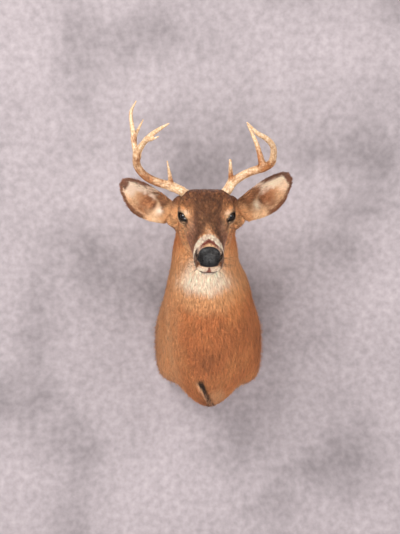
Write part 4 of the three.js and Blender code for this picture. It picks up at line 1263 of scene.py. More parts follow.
class Antler:
    """The branches of one antler as one field, with places along and round them."""

    def __init__(self, side):
        self.branches = []
        for points, radii in ANTLERS[side].values():
            places, sizes = curve_samples(points, radii)
            steps = np.linalg.norm(np.diff(places, axis=0), axis=1)
            self.branches.append((places, sizes, np.append(0, np.cumsum(steps))))
        points = np.array(ANTLERS[side]["beam"][0], float)
        self.burr_axis = unit(points[1] - points[0])
        self.burr = points[0] + BURR_AT * (points[1] - points[0])

    def nearest(self, p, branch):
        """Distance outside one branch, the place along it and the vector out from its middle."""
        places, sizes, lengths = branch
        best = np.full(len(p), FAR)
        along, out = np.zeros(len(p)), np.zeros((len(p), 3))
        for i in range(len(places) - 1):
            line = places[i + 1] - places[i]
            t = np.clip((p - places[i]) @ line / (line @ line), 0, 1)
            d = p - places[i] - t[:, None] * line
            far = np.sqrt((d * d).sum(1)) - sizes[i] - (sizes[i + 1] - sizes[i]) * t
            closer = far < best
            best[closer] = far[closer]
            along[closer] = (lengths[i] + (lengths[i + 1] - lengths[i]) * t)[closer]
            out[closer] = d[closer]
        return best, along, out

    def field(self, p):
        total = np.full(len(p), FAR)
        for branch in self.branches:
            low, high = branch[0].min(0) - 24, branch[0].max(0) + 24
            near = np.flatnonzero(((p > low) & (p < high)).all(1))
            if len(near):
                total[near] = blended(total[near], self.nearest(p[near], branch)[0], FORK_WEB)
        d = p - self.burr
        high = d @ self.burr_axis
        flat = np.linalg.norm(d - high[:, None] * self.burr_axis, axis=1)
        ring = np.hypot(np.maximum(flat - BURR_RADIUS + 5, 0), high * 5 / (BURR_HEIGHT / 2)) - 5
        return blended(total, ring, 4)

    def relief(self, p):
        """Height of the furrows and pearls, and how deep in a furrow each place is."""
        best, along, out = np.full(len(p), FAR), np.zeros(len(p)), np.zeros((len(p), 3))
        tine = np.zeros(len(p))
        for k, branch in enumerate(self.branches):
            far, s, d = self.nearest(p, branch)
            closer = far < best
            best[closer], along[closer], out[closer] = far[closer], s[closer], d[closer]
            tine[closer] = k > 0
        round_place = units(out) * 3.1
        streaks = round_place + np.outer(along / 26, [0.5, 0.7, 0.6])
        furrow = noise(streaks, 1.0, 41) + 0.5 * noise(streaks * 2.3, 1.0, 42)
        furrow = ramp(np.abs(furrow - 0.75), 0.16, 0.0)
        foot = ramp(along + 400 * tine, 95, 20)
        tip = ramp(along - np.array([b[2][-1] for b in self.branches]).max() * 0.7, 0, 60)
        pearl = pebbles(p, 4.6) * ramp(noise(p, 11, 43), 0.35, 0.6) * foot
        d = p - self.burr
        high = d @ self.burr_axis
        at_burr = hump(high / 6) * ramp(np.linalg.norm(d, axis=1), 34, 24)
        height = 1.5 * pearl + 2.4 * pebbles(p, 6) * at_burr - 0.75 * furrow * (1 - tip)
        return height + 0.5 * (noise(p, 6, 44) - 0.5), furrow * (1 - 0.7 * tip)


def antler_mesh(name, side, spacing):
    antler = Antler(side)
    every = np.vstack([b[0] for b in antler.branches])
    low, high = every.min(0) - 23, every.max(0) + 23
    axes = tuple(spaced((a, b, spacing)) for a, b in zip(low, high))
    points, quads = net_surface(axes, antler.field)
    points = settle(relaxed(points, quads), antler.field, 1)
    obj = new_mesh(name, points, quads)
    normals = vertex_normals(obj.data)
    height, furrow = antler.relief(points)
    set_points(obj.data, points + normals * height[:, None])
    stain_and_underside_shade = np.zeros(len(points))
    for middle, reach, strength in STAINS[side]:
        stain_and_underside_shade = np.maximum(stain_and_underside_shade, strength * hump(np.linalg.norm(points - middle, axis=1) / reach))
    patch = noise(points, 13, 45)
    # painted shade: browner on faces that look down, added to the real stains
    stain_and_underside_shade = stain_and_underside_shade * (0.45 + 0.9 * patch) + 0.25 * ramp(-normals[:, 2], 0.0, 1.0)
    stain_and_underside_shade = np.clip(stain_and_underside_shade + 0.3 * ramp(patch, 0.6, 0.85), 0, 1)
    values = np.column_stack([stain_and_underside_shade, furrow, 0 * stain_and_underside_shade])
    add_values(obj.data.attributes, "bone_wear", "FLOAT_VECTOR", "vector", values)
    return obj


# ---- Materials ------------------------------------------------------------------------------


def add_node(tree, kind, inputs, settings):
    """A node with its settings made and its sockets linked or filled in."""
    new = tree.nodes.new(kind)
    for key, value in settings.items():
        setattr(new, key, value)
    for key, value in (inputs or {}).items():
        if isinstance(value, bpy.types.NodeSocket):
            tree.links.new(value, new.inputs[key])
        else:
            new.inputs[key].default_value = value
    return new


def tone(value):
    """A colour from a code, a grey level or three numbers, with its alpha."""
    if isinstance(value, str):
        value = colour(value)
    elif isinstance(value, float):
        value = (value,) * 3
    return (*value, 1)


class Finish:
    """A node material under construction."""

    def __init__(self, name, **sockets):
        self.material = bpy.data.materials.new(name)
        self.material.use_nodes = True
        self.tree = self.material.node_tree
        self.shader = self.tree.nodes["Principled BSDF"]
        for socket, value in sockets.items():
            self.shader.inputs[socket.replace("_", " ")].default_value = value

    def node(self, kind, inputs=None, **settings):
        return add_node(self.tree, kind, inputs, settings)

    def place(self):
        return self.node("ShaderNodeTexCoord").outputs["Object"]

    def split(self, vector):
        """The three parts of a vector."""
        return self.node("ShaderNodeSeparateXYZ", {"Vector": vector}).outputs

    def attribute(self, name):
        return self.node("ShaderNodeAttribute", attribute_name=name)

    def noise(self, scale, detail=3.0, stretch=(1, 1, 1), vector=None):
        """Noise of a scale and detail, drawn out along the axes with a small stretch."""
        inputs = {"Vector": self.place() if vector is None else vector, "Scale": stretch}
        placed = self.node("ShaderNodeMapping", inputs).outputs[0]
        inputs = {"Vector": placed, "Scale": scale, "Detail": detail}
        return self.node("ShaderNodeTexNoise", inputs).outputs["Fac"]

    def ramp(self, fac, *stops):
        """Colour ramp from stops, each a position and a colour."""
        new = self.node("ShaderNodeValToRGB", {"Fac": fac})
        ramp = new.color_ramp
        while len(ramp.elements) < len(stops):
            ramp.elements.new(0.5)
        for element, (place, value) in zip(ramp.elements, stops):
            element.position, element.color = place, tone(value)
        return new.outputs["Color"]

    def range(self, value, from_low, from_high, low, high):
        """A number taken from one range to another, and kept inside it."""
        inputs = {0: value, 1: from_low, 2: from_high, 3: low, 4: high}
        return self.node("ShaderNodeMapRange", inputs).outputs[0]

    def mix(self, fac, a, b, blend="MIX"):
        new = self.tree.nodes.new("ShaderNodeMix")
        new.data_type, new.blend_type = "RGBA", blend
        for index, value in ((0, fac), (6, a), (7, b)):
            if isinstance(value, bpy.types.NodeSocket):
                self.tree.links.new(value, new.inputs[index])
            else:
                new.inputs[index].default_value = value if index == 0 else tone(value)
        return new.outputs[2]

    def tinted(self, a, b):
        """Two colours multiplied."""
        return self.mix(1.0, a, b, "MULTIPLY")

    def math(self, operation, a, b=0.0):
        return self.node("ShaderNodeMath", {0: a, 1: b}, operation=operation).outputs[0]

    def length(self, x, y):
        """Length of the vector with the two parts."""
        flat = self.node("ShaderNodeCombineXYZ", {"X": x, "Y": y}).outputs[0]
        return self.node("ShaderNodeVectorMath", {0: flat}, operation="LENGTH").outputs["Value"]

    def bump(self, height, strength, distance):
        inputs = {"Height": height, "Strength": strength, "Distance": distance}
        self.link(self.node("ShaderNodeBump", inputs).outputs[0], "Normal")

    def link(self, output, socket):
        self.tree.links.new(output, self.shader.inputs[socket])


def coat_finish(name):
    f = Finish(
        name, Roughness=0.66, Specular_IOR_Level=0.16, Sheen_Weight=0.03, Sheen_Roughness=0.5
    )
    colour_in = f.attribute("coat_colour").outputs["Color"]
    streak = f.ramp(f.noise(620, 2), (0.3, 0.86), (0.7, 1.1))
    f.link(f.tinted(colour_in, streak), "Base Color")
    f.bump(f.noise(1500, 2), 0.25, 0.0003)
    return f.material


def hide_finish():
    f = Finish("hide_fur", Specular_IOR_Level=0.22)
    colour_in = f.attribute("coat_colour").outputs["Color"]
    bare = f.attribute("bare_skin").outputs["Fac"]
    tufted = f.ramp(f.noise(900, 4), (0.3, 0.7), (0.7, 1.12))
    f.link(f.tinted(colour_in, tufted), "Base Color")
    f.link(f.range(bare, 0.0, 1.0, 0.78, 0.34), "Roughness")
    f.bump(f.noise(1100, 3), 0.5, 0.0006)
    return f.material


def leather_finish():
    f = Finish("nose_leather", Specular_IOR_Level=0.24, Coat_Weight=0.06, Coat_Roughness=0.2)
    cells = f.node("ShaderNodeTexVoronoi", {"Scale": 560.0, "Vector": f.place()})
    cloud = f.noise(70, 3)
    base = f.ramp(cloud, (0.3, "0d0b0a"), (0.7, "2a2726"))
    mottle = f.ramp(f.noise(330, 1), (0.4, 0.35), (0.62, 1.7))
    # painted shade in the creases between the pebbles, with lighter pebble tops
    crease_shade = f.ramp(cells.outputs["Distance"], (0.2, 1.15), (0.7, 0.45))
    # painted light and shade: the leather lighter towards its top and darker towards its foot
    height = f.split(f.place())["Z"]
    lit_top_shaded_foot = f.ramp(f.range(height, 0.168, 0.2, 0.0, 1.0), (0.0, 0.4), (1.0, 1.5))
    f.link(f.tinted(f.tinted(f.tinted(base, mottle), crease_shade), lit_top_shaded_foot), "Base Color")
    f.link(f.range(cloud, 0.3, 0.7, 0.26, 0.46), "Roughness")
    f.bump(cells.outputs["Distance"], 0.45, 0.0005)
    return f.material


def eye_finish():
    f = Finish(
        "eye_glass", Roughness=0.03, Specular_IOR_Level=0.45, Coat_Weight=0.3, Coat_Roughness=0.02
    )
    place = f.attribute("eye_place").outputs["Vector"]
    x, y, _ = f.split(place)
    reach = f.length(x, y)
    pupil = f.length(f.math("MULTIPLY", x, 0.5), y)
    rays = f.noise(9, 2, (1, 1, 0.05), place)
    iris = f.ramp(
        reach,
        (0.0, "140c08"), (0.34, "2c1a0e"), (0.56, "1c1109"), (0.66, "080504"), (1.0, "0c0908"),
    )
    iris = f.tinted(iris, f.ramp(rays, (0.3, 0.6), (0.7, 1.4)))
    hole = f.range(pupil, 0.2, 0.26, 1.0, 0.0)
    f.link(f.mix(hole, iris, "06080c"), "Base Color")
    return f.material


def bone_finish():
    f = Finish("antler_bone", Specular_IOR_Level=0.42)
    stain_and_underside_shade, furrow, _ = f.split(f.attribute("bone_wear").outputs["Vector"])
    grain = f.noise(190, 4)
    fine = f.noise(900, 2)
    ivory = f.ramp(grain, (0.3, "c0956a"), (0.5, "d8b189"), (0.72, "ead4b6"))
    brown = f.ramp(grain, (0.3, "75411e"), (0.7, "b8723a"))
    # the stain value carries the real stains and painted shade on the antlers' undersides
    ragged = f.math("ADD", stain_and_underside_shade, f.range(fine, 0.3, 0.7, -0.12, 0.12))
    stained_and_shaded = f.mix(f.range(ragged, 0.18, 0.85, 0.0, 0.92), ivory, brown)
    dirt = f.math("MULTIPLY", furrow, f.range(stain_and_underside_shade, 0.0, 0.8, 0.42, 0.7))
    f.link(f.mix(dirt, stained_and_shaded, "6a452a"), "Base Color")
    f.link(f.range(stain_and_underside_shade, 0.0, 1.0, 0.42, 0.58), "Roughness")
    f.bump(f.noise(520, 3), 0.3, 0.0004)
    return f.material


def whisker_finish():
    f = Finish("whisker", Roughness=0.4, Specular_IOR_Level=0.4)
    f.link(f.ramp(f.noise(160, 2), (0.35, "1c1613"), (0.7, "4a3a2e")), "Base Color")
    return f.material


def plywood_finish():
    f = Finish("plywood_board", Specular_IOR_Level=0.3)
    wavy = f.noise(7, 3, (6, 1, 0.5))
    grain = f.noise(60, 6, (7, 1, 0.35))
    face = f.ramp(grain, (0.3, "a97e4f"), (0.6, "cfa873"), (0.8, "dfc092"))
    face = f.mix(f.range(wavy, 0.4, 0.7, 0.0, 0.4), face, "b98a58")
    inputs = {"Vector": f.place(), "Scale": 46.0, "Distortion": 0.6}
    plies = f.node("ShaderNodeTexWave", inputs, bands_direction="Y").outputs["Fac"]
    layered = f.mix(f.range(plies, 0.45, 0.6, 0.0, 0.45), face, "7c5230")
    flat = f.math("ABSOLUTE", f.split(f.node("ShaderNodeNewGeometry").outputs["Normal"])["Y"])
    f.link(f.mix(f.range(flat, 0.5, 0.8, 0.0, 1.0), layered, face), "Base Color")
    f.link(f.range(grain, 0.3, 0.7, 0.7, 0.55), "Roughness")
    f.bump(grain, 0.3, 0.0005)
    return f.material


def steel_finish():
    f = Finish("zinc_steel", Metallic=1.0)
    streak = f.noise(320, 3, (0.06, 1, 1))
    f.link(f.ramp(streak, (0.3, "85888c"), (0.7, "b9bcc0")), "Base Color")
    f.link(f.range(streak, 0.3, 0.7, 0.28, 0.46), "Roughness")
    f.bump(streak, 0.15, 0.0002)
    return f.material


# ---- Whiskers and lashes, by nodes ----------------------------------------------------------


class Tree:
    """A geometry node tree under construction."""

    def __init__(self, name, **inputs):
        self.group = bpy.data.node_groups.new(name, "GeometryNodeTree")
        face = self.group.interface
        face.new_socket("Geometry", in_out="INPUT", socket_type="NodeSocketGeometry")
        for label, (kind, value) in inputs.items():
            face.new_socket(label, in_out="INPUT", socket_type=kind).default_value = value
        face.new_socket("Geometry", in_out="OUTPUT", socket_type="NodeSocketGeometry")
        self.source = self.group.nodes.new("NodeGroupInput")
        self.sink = self.group.nodes.new("NodeGroupOutput")

    def node(self, kind, inputs=None, **settings):
        return add_node(self.group, kind, inputs, settings)

    def math(self, operation, a, b):
        return self.node("ShaderNodeMath", {0: a, 1: b}, operation=operation).outputs[0]


def bristle_tree(material):
    """Tapered bent bristles on points, each as long as its point says and along its own way."""
    tree = Tree(
        "bristles",
        Thickness=("NodeSocketFloat", 0.012),
        Bend=("NodeSocketFloat", 0.14),
        Taper=("NodeSocketFloat", 0.85),
        Seed=("NodeSocketInt", 5),
    )
    source = tree.source.outputs
    bend = tree.node("ShaderNodeCombineXYZ", {"X": source["Bend"], "Z": 1.0})
    hair = tree.node(
        "GeometryNodeCurveQuadraticBezier",
        {"Resolution": 7, "Start": (0, 0, 0), "Middle": (0, 0, 0.55), "End": bend.outputs[0]},
    )
    share = tree.node("GeometryNodeSplineParameter").outputs["Factor"]
    left = tree.math("SUBTRACT", 1.0, tree.math("MULTIPLY", share, source["Taper"]))
    size = tree.math("MULTIPLY", left, source["Thickness"])
    sized = tree.node("GeometryNodeSetCurveRadius", {"Curve": hair.outputs[0], "Radius": size})
    ring = tree.node(
        "GeometryNodeCurvePrimitiveCircle", {"Resolution": 4, "Radius": 1.0}, mode="RADIUS"
    )
    swept = tree.node(
        "GeometryNodeCurveToMesh",
        {"Curve": sized.outputs[0], "Profile Curve": ring.outputs[0], "Fill Caps": True},
    )
    if "Scale" in swept.inputs:
        radius = tree.node("GeometryNodeInputRadius")
        tree.group.links.new(radius.outputs[0], swept.inputs["Scale"])
    way = tree.node("GeometryNodeInputNamedAttribute", {"Name": "way"}, data_type="FLOAT_VECTOR")
    long = tree.node("GeometryNodeInputNamedAttribute", {"Name": "long"}, data_type="FLOAT")
    turned = tree.node("FunctionNodeAlignRotationToVector", {"Vector": way.outputs[0]}, axis="Z")
    spin = tree.node(
        "FunctionNodeRandomValue",
        {2: 0.0, 3: 2 * math.pi, "Seed": source["Seed"]},
        data_type="FLOAT",
    )
    about = tree.node("ShaderNodeCombineXYZ", {"Z": spin.outputs[1]})
    rolled = tree.node(
        "FunctionNodeRotateRotation",
        {"Rotation": turned.outputs[0], "Rotate By": about.outputs[0]},
        rotation_space="LOCAL",
    )
    placed = tree.node(
        "GeometryNodeInstanceOnPoints",
        {
            "Points": source["Geometry"], "Instance": swept.outputs[0],
            "Rotation": rolled.outputs[0], "Scale": long.outputs[0],
        },
    )
    real = tree.node("GeometryNodeRealizeInstances", {"Geometry": placed.outputs[0]})
    painted = tree.node(
        "GeometryNodeSetMaterial", {"Geometry": real.outputs[0], "Material": material}
    )
    tree.group.links.new(painted.outputs[0], tree.sink.inputs[0])
    return tree.group


def bristles(name, roots, ways, lengths, material, **sizes):
    """A mesh of bristles, made by the node tree and turned into plain mesh."""
    host = made_from(name + "_roots", roots, [])
    add_values(host.data.attributes, "way", "FLOAT_VECTOR", "vector", ways)
    add_values(host.data.attributes, "long", "FLOAT", "value", lengths * MM)
    modifier = host.modifiers.new("bristles", "NODES")
    modifier.node_group = bristle_tree(material)
    for item in modifier.node_group.interface.items_tree:
        if item.in_out == "INPUT" and item.name in sizes:
            modifier[item.identifier] = sizes[item.name]
    obj = plain(host, name)
    if not obj.data.materials:
        obj.data.materials.append(material)
    return obj


def plain(host, name):
    """The evaluated mesh of an object as a new object, and the old object gone."""
    bpy.context.view_layer.update()
    seen = host.evaluated_get(bpy.context.evaluated_depsgraph_get())
    mesh = bpy.data.meshes.new_from_object(seen)
    mesh.name = name
    bpy.data.objects.remove(host)
    return linked(name, mesh)


# ---- Hide and whiskers ----------------------------------------------------------------------

# the board's place: half-width, top and foot, thickness and the gap round it
BOARD_HALF, BOARD_TOP, BOARD_FOOT, BOARD_DEPTH, POCKET_GAP = 118, 128, -134, 19, 0.5
BOARD_POWER, BOARD_NARROWING = 0.86, 0.16  # roundness of its outline, and how it narrows upward
BOOLEAN_SOLVER = "MANIFOLD"


def hide_grid(spacing):
    """Grid lines that are closest together on the face."""
    return (
        spaced((-148, -84, 3.4 * spacing), (-84, 76, spacing), (76, 148, 3.4 * spacing)),
        spaced((-546, -340, spacing), (-340, -250, 1.7 * spacing), (-250, 2, 3.4 * spacing)),
        spaced(
            (-210, 100, 3.4 * spacing), (100, 140, 1.8 * spacing), (140, 350, spacing),
            (350, 366, 1.7 * spacing),
        ),
    )


@lru_cache(maxsize=None)
def hide_surface(spacing):
    """Points and quads of the hide without its ears."""
    points, quads = net_surface(hide_grid(spacing), skin_field)
    for _ in range(3):
        points = settle(relaxed(points, quads), skin_field, 1)
    return settle(points, skin_field, 2, 1.0), quads


def board_outline(gap, sides=96):
    """The board's egg, in x and z, grown by a gap."""
    turn = np.arange(sides) * 2 * math.pi / sides
    rise = np.sin(turn)
    x = np.sign(np.cos(turn)) * np.abs(np.cos(turn)) ** BOARD_POWER
    z = np.sign(rise) * np.abs(rise) ** BOARD_POWER
    high = np.where(z > 0, BOARD_TOP, -BOARD_FOOT) + gap
    return x * (BOARD_HALF + gap) * (1 - BOARD_NARROWING * z), z * high


def pocket_tool():
    """A closed block that cuts the board's place out of the hide."""
    x, z = board_outline(POCKET_GAP)
    n = len(x)
    front, rear = -BOARD_DEPTH - POCKET_GAP, 6.0
    points = [(a, y, b) for y in (front, rear) for a, b in zip(x, z)]
    sides = [(i, (i + 1) % n, n + (i + 1) % n, n + i) for i in range(n)]
    ends = [tuple(range(n)), tuple(range(n, 2 * n))]
    return turned_out(made_from("pocket", np.array(points), sides + ends))


def cut_or_joined(name, host, tools):
    """The host joined with each tool or cut by it, as a new object; the tools are removed."""
    for tool, operation in tools:
        modifier = host.modifiers.new(tool.name, "BOOLEAN")
        modifier.operation, modifier.object, modifier.solver = operation, tool, BOOLEAN_SOLVER
    obj = plain(host, name)
    for tool, _ in tools:
        bpy.data.objects.remove(tool)
    return obj


def bareness(p):
    """Share of bare skin: lids, lips and the insides of the nostrils."""
    bare = np.zeros(len(p))
    near = p[:, 1] < HEAD_REAR
    q = in_head(p[near])
    from_eye, along, across, ahead = eye_places(q)
    lids = ramp(lid_gap(along, across), 3.4, 1.6) * ramp(from_eye, 25, 21) * (ahead > 0)
    above, line = mouth_height(q)
    lips = ramp(np.abs(above), 2.2, 1.0) * line
    holes = ramp(hide_field(p[near])[0], -3.5, -6) * (q[:, 1] < 34)
    bare[near] = np.maximum.reduce([lids, lips, holes, ramp(nose_edge(q), 1.5, 0)])
    return bare


def hide_mesh(name, spacing, inks, material):
    """The whole skin: head, neck and trunk with both ears, and the board's place cut out of it."""
    points, quads = hide_surface(spacing)
    body = new_mesh("body", points, quads)
    tools = [(turned_out(new_mesh("ear_tool_" + side, *ear_skin(side))), "UNION") for side in SIDES]
    obj = cut_or_joined(name, body, tools + [(pocket_tool(), "DIFFERENCE")])
    mesh = obj.data
    places = mesh_points(mesh)
    if len(places) < 0.8 * len(points) or np.ptp(places[:, 0]) < 1.2 * np.ptp(points[:, 0]):
        raise RuntimeError("the hide lost an ear or part of its surface when they were joined")
    add_coat_colour(mesh, markings(places, inks))
    add_values(mesh.attributes, "bare_skin", "FLOAT", "value", bareness(places))
    shade_smooth(mesh)
    mesh.materials.clear()
    mesh.materials.append(material)
    return obj


# whiskers, in the head's directions: middle, half-sizes of the patch, how many, length and way
WHISKERS = [
    ((31, 34, -6), (4, 18, 11), 30, 30, (0.9, 0.5, -0.3)),
    ((27, 20, -22), (7, 9, 6), 12, 22, (0.7, 0.1, -0.7)),
    ((14, 34, -38), (12, 20, 3), 18, 20, (0.3, 0.3, -0.9)),
    ((56, 172, 34), (4, 8, 6), 6, 26, (0.8, 0.3, -0.5)),
    ((50, 206, 84), (5, 9, 4), 5, 24, (0.6, 0.2, 0.8)),
]
LASHES, LASH_LENGTH, LASH_SPAN = 30, 8.5, 12.5


def whisker_roots(rng):
    """Roots, ways and lengths of the whiskers on both sides of the face."""
    roots, ways, lengths = [], [], []
    for middle, spread, count, long, way in WHISKERS:
        for sign in (-1, 1):
            q = middle + (rng.random((count, 3)) * 2 - 1) * spread
            q[:, 0] *= sign
            p = settle(from_head(q), skin_field, 6, 6.0)
            _, slope = slopes(skin_field, p)
            ahead = unit(np.array(way) * (sign, 1, 1)) @ HEAD_AXES
            roots.append(p)
            ways.append(units(units(slope) * 0.7 + ahead + rng.normal(0, 0.16, p.shape)))
            lengths.append(long * (0.55 + 0.7 * rng.random(count)))
    return np.vstack(roots), np.vstack(ways), np.concatenate(lengths)


def lash_roots(rng):
    """Roots, ways and lengths of the upper lashes of both eyes."""
    roots, ways, lengths = [], [], []
    for sign in (-1, 1):
        along = np.linspace(-LASH_SPAN, LASH_SPAN, LASHES) + rng.normal(0, 0.3, LASHES)
        across = LID_RISE * (1 - (along / LID_LENGTH) ** 2) + 0.6
        ahead = np.sqrt((EYE_RADIUS + LID_THICKNESS - 0.6) ** 2 - along**2 - across**2)
        flip = np.array([sign, 1, 1])
        q = (EYE_AT + np.column_stack([along, across, ahead]) @ EYE_AXES) * flip
        way = np.column_stack([along * 0.05, 0.45 + 0 * along, 1 + 0 * along]) @ EYE_AXES * flip
        roots.append(from_head(q))
        ways.append(units(way @ HEAD_AXES + rng.normal(0, 0.1, q.shape)))
        uneven = 0.7 + 0.5 * rng.random(LASHES)
        lengths.append(LASH_LENGTH * uneven * (0.6 + 0.4 * ramp(along, 12, -4)))
    return np.vstack(roots), np.vstack(ways), np.concatenate(lengths)


# ---- Settings -------------------------------------------------------------------------------


def tint(label, words, value):
    return FloatVectorProperty(
        name=label, description=words, default=tuple(value), size=3, min=0, max=1, subtype="COLOR"
    )


def number(label, words, default, low, high, kind=FloatProperty, **more):
    return kind(name=label, description=words, default=default, min=low, max=high, **more)


def factor(label, words, default, low, high):
    return number(label, words, default, low, high, subtype="FACTOR")


class MarkingSettings(bpy.types.PropertyGroup):
    """Colours of the hide and its coat."""

    russet: tint("Russet", "Ground colour of the neck and trunk", INK["russet"])
    orange: tint("Orange", "Lighter hair of the body and cheeks", INK["orange"])
    dorsal: tint("Dorsal brown", "Darker hair of the back and crown", INK["dorsal"])
    umber: tint("Umber", "Flecks of the crown and the backs of the ears", INK["umber"])
    dark: tint("Dark", "Rims of the ears and tear lines", INK["dark"])
    bridge: tint("Bridge", "Band down the bridge of the nose", INK["bridge"])
    chevron: tint("Chevron", "Dark angle above the nose", INK["chevron"])
    cream: tint("Cream", "Throat, muzzle band and hair in the ears", INK["cream"])
    pale: tint("Pale tan", "Rings round the eyes and ground of the ears' hollows", INK["pale"])

    def inks(self):
        """Every colour by name, with the settings over the fixed ones."""
        return {name: np.array(getattr(self, name, value)) for name, value in INK.items()}


class HideSettings(bpy.types.PropertyGroup):
    """Skin under the coat."""

    spacing: number("Face spacing", "Spacing of the face's mesh, in millimetres", 1.8, 1.2, 4)


class CoatSettings(bpy.types.PropertyGroup):
    """Tufts of the coat."""

    tufts: number(
        "Tufts", "Tufts on each ear and each side of head, neck and trunk", 31200, 1000, 33000,
        IntProperty,
    )
    length: factor("Length", "Length of the tufts against the usual", 1.0, 0.4, 2)
    width: factor("Width", "Width of the tufts against the usual", 1.0, 0.4, 2)
    brightness: factor("Brightness", "Lightness of the hair against the markings", 1.35, 0.5, 2)
    variety: factor("Variety", "Spread of lightness from tuft to tuft", 0.5, 0, 1)
    root_shade: factor("Root shade", "Lightness at the roots", 0.72, 0, 1.5)
    tip_shade: factor("Tip shade", "Lightness at the tips", 1.12, 0, 1.5)


class BristleSettings(bpy.types.PropertyGroup):
    """Whiskers and lashes."""

    whisker_thickness: factor(
        "Whisker thickness", "Radius of a whisker over its length", 0.0065, 0.002, 0.05
    )
    lash_thickness: factor("Lash thickness", "Radius of a lash over its length", 0.026, 0.005, 0.1)
    bend: factor("Bend", "Sideways reach of a tip over the length", 0.16, 0, 0.6)


class AntlerSettings(bpy.types.PropertyGroup):
    """Antlers."""

    spacing: number("Spacing", "Spacing of the antlers' mesh, in millimetres", 1.5, 1, 4)


class StageSettings(bpy.types.PropertyGroup):
    """Wall, floor, lamps and camera."""

    wall: tint("Wall", "Colour of the wall", colour("a09698"))
    floor: tint("Floor", "Colour of the floor", colour("cfccd0"))
    key: number("Key lamp", "Power of the main lamp", 82, 0, 500, unit="POWER")
    fill: number("Fill lamp", "Power of the lamp on the other side", 32, 0, 500, unit="POWER")
    lens: number("Lens", "Focal length of the camera", 0.0735, 0.01, 0.3, unit="CAMERA")


# ---- Operators ------------------------------------------------------------------------------

COAT_SEED, EAR_COAT_SEED, BRISTLE_SEED = 11, 31, 7  # the first of each kind's random draws


def on_root(obj):
    """Lets a piece ride on the mount's one body."""
    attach(obj, "root")


class MOUNT_OT_hide(bpy.types.Operator):
    """Skin of the head, neck, trunk and ears in one piece, under the coat"""

    bl_idname = "mount.hide"
    bl_label = "Hide"

    def execute(self, context):
        scene = context.scene
        inks = scene.mount_markings.inks()
        obj = hide_mesh("skin", scene.mount_hide.spacing, inks, hide_finish())
        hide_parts("neck", "shoulders", "head", "lower_jaw", "ear_right", "ear_left")
        on_root(obj)
        return {"FINISHED"}


class MOUNT_OT_coat(bpy.types.Operator):
    """Coat of the head, neck and trunk, a piece for each side of each"""

    bl_idname = "mount.coat"
    bl_label = "Coat"

    def execute(self, context):
        scene = context.scene
        points, quads = hide_surface(scene.mount_hide.spacing)
        regions, middle, share = coat_regions(points, quads)
        weight = coat_weight(middle, share)
        inks = scene.mount_markings.inks()
        for seed, name in enumerate(sorted(set(regions)), COAT_SEED):
            chosen = (regions == name) & (weight > 0)
            on_root(hide_coat(
                "coat_" + name, name.split("_")[0], points, quads[chosen], weight[chosen],
                scene.mount_coat, inks, coat_finish("coat_" + name), seed,
            ))
        return {"FINISHED"}


class MOUNT_OT_ear_coat(bpy.types.Operator):
    """Coat of both ears, with the long pale hair in their hollows"""

    bl_idname = "mount.ear_coat"
    bl_label = "Ear coat"

    def execute(self, context):
        scene = context.scene
        inks = scene.mount_markings.inks()
        for seed, side in enumerate(SIDES, EAR_COAT_SEED):
            name = "coat_ear_" + side
            on_root(ear_coat(name, side, scene.mount_coat, inks, coat_finish(name), seed))
        return {"FINISHED"}


class MOUNT_OT_nose(bpy.types.Operator):
    """Bare pebbled leather of the nose"""

    bl_idname = "mount.nose"
    bl_label = "Nose"

    def execute(self, context):
        obj = nose_mesh("nose_pad")
        obj.data.materials.append(leather_finish())
        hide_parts("nose")
        on_root(obj)
        return {"FINISHED"}


class MOUNT_OT_eyes(bpy.types.Operator):
    """Glass eyes with a brown iris and a long pupil"""

    bl_idname = "mount.eyes"
    bl_label = "Eyes"

    def execute(self, context):
        finish = eye_finish()
        for side in SIDES:
            obj = eye_mesh("glass_eye_" + side, side)
            obj.data.materials.append(finish)
            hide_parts("eye_" + side)
            on_root(obj)
        return {"FINISHED"}


class MOUNT_OT_antlers(bpy.types.Operator):
    """Antlers with their burrs, pearls and furrows"""

    bl_idname = "mount.antlers"
    bl_label = "Antlers"

    def execute(self, context):
        finish = bone_finish()
        for side in SIDES:
            obj = antler_mesh("antler_bone_" + side, side, context.scene.mount_antlers.spacing)
            obj.data.materials.append(finish)
            nodes = [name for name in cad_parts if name.startswith("antler_" + side)]
            if len(nodes) < 3:
                raise RuntimeError("the packed antler has fewer nodes than its branches")
            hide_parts(*nodes)
            on_root(obj)
        return {"FINISHED"}


class MOUNT_OT_bristles(bpy.types.Operator):
    """Whiskers of the muzzle, chin and brows, and the lashes"""

    bl_idname = "mount.bristles"
    bl_label = "Whiskers and lashes"

    def execute(self, context):
        sizes = context.scene.mount_bristles
        rng = np.random.default_rng(BRISTLE_SEED)
        finish = whisker_finish()
        for name, places, thick in (
            ("whiskers", whisker_roots(rng), sizes.whisker_thickness),
            ("lashes", lash_roots(rng), sizes.lash_thickness),
        ):
            on_root(bristles(name, *places, finish, Thickness=thick, Bend=sizes.bend))
        return {"FINISHED"}


class MOUNT_OT_board(bpy.types.Operator):
    """Finish of the backboard and its hanger"""

    bl_idname = "mount.board"
    bl_label = "Board and hanger"

    def execute(self, context):
        for node, finish in (("backboard", plywood_finish()), ("hanger", steel_finish())):
            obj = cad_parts[node]
            for slot in obj.material_slots:
                slot.material = finish
        return {"FINISHED"}


class MOUNT_OT_stage(bpy.types.Operator):
    """Wall, floor, soft lamps and camera"""

    bl_idname = "mount.stage"
    bl_label = "Stage"

    def execute(self, context):
        build_stage(context.scene, context.scene.mount_stage)
        return {"FINISHED"}


# ---- Stage ----------------------------------------------------------------------------------

EYE_POINT = (-0.0248, -3.0, 0.165)
SENSOR_WIDTH = 36
WALL_Y, WALL_TOP, FLOOR_Z, HALF_WIDTH = 0.0015, 3, -1.8, 4
FLOOR_FRONT, FLOOR_REAR = -5, 4
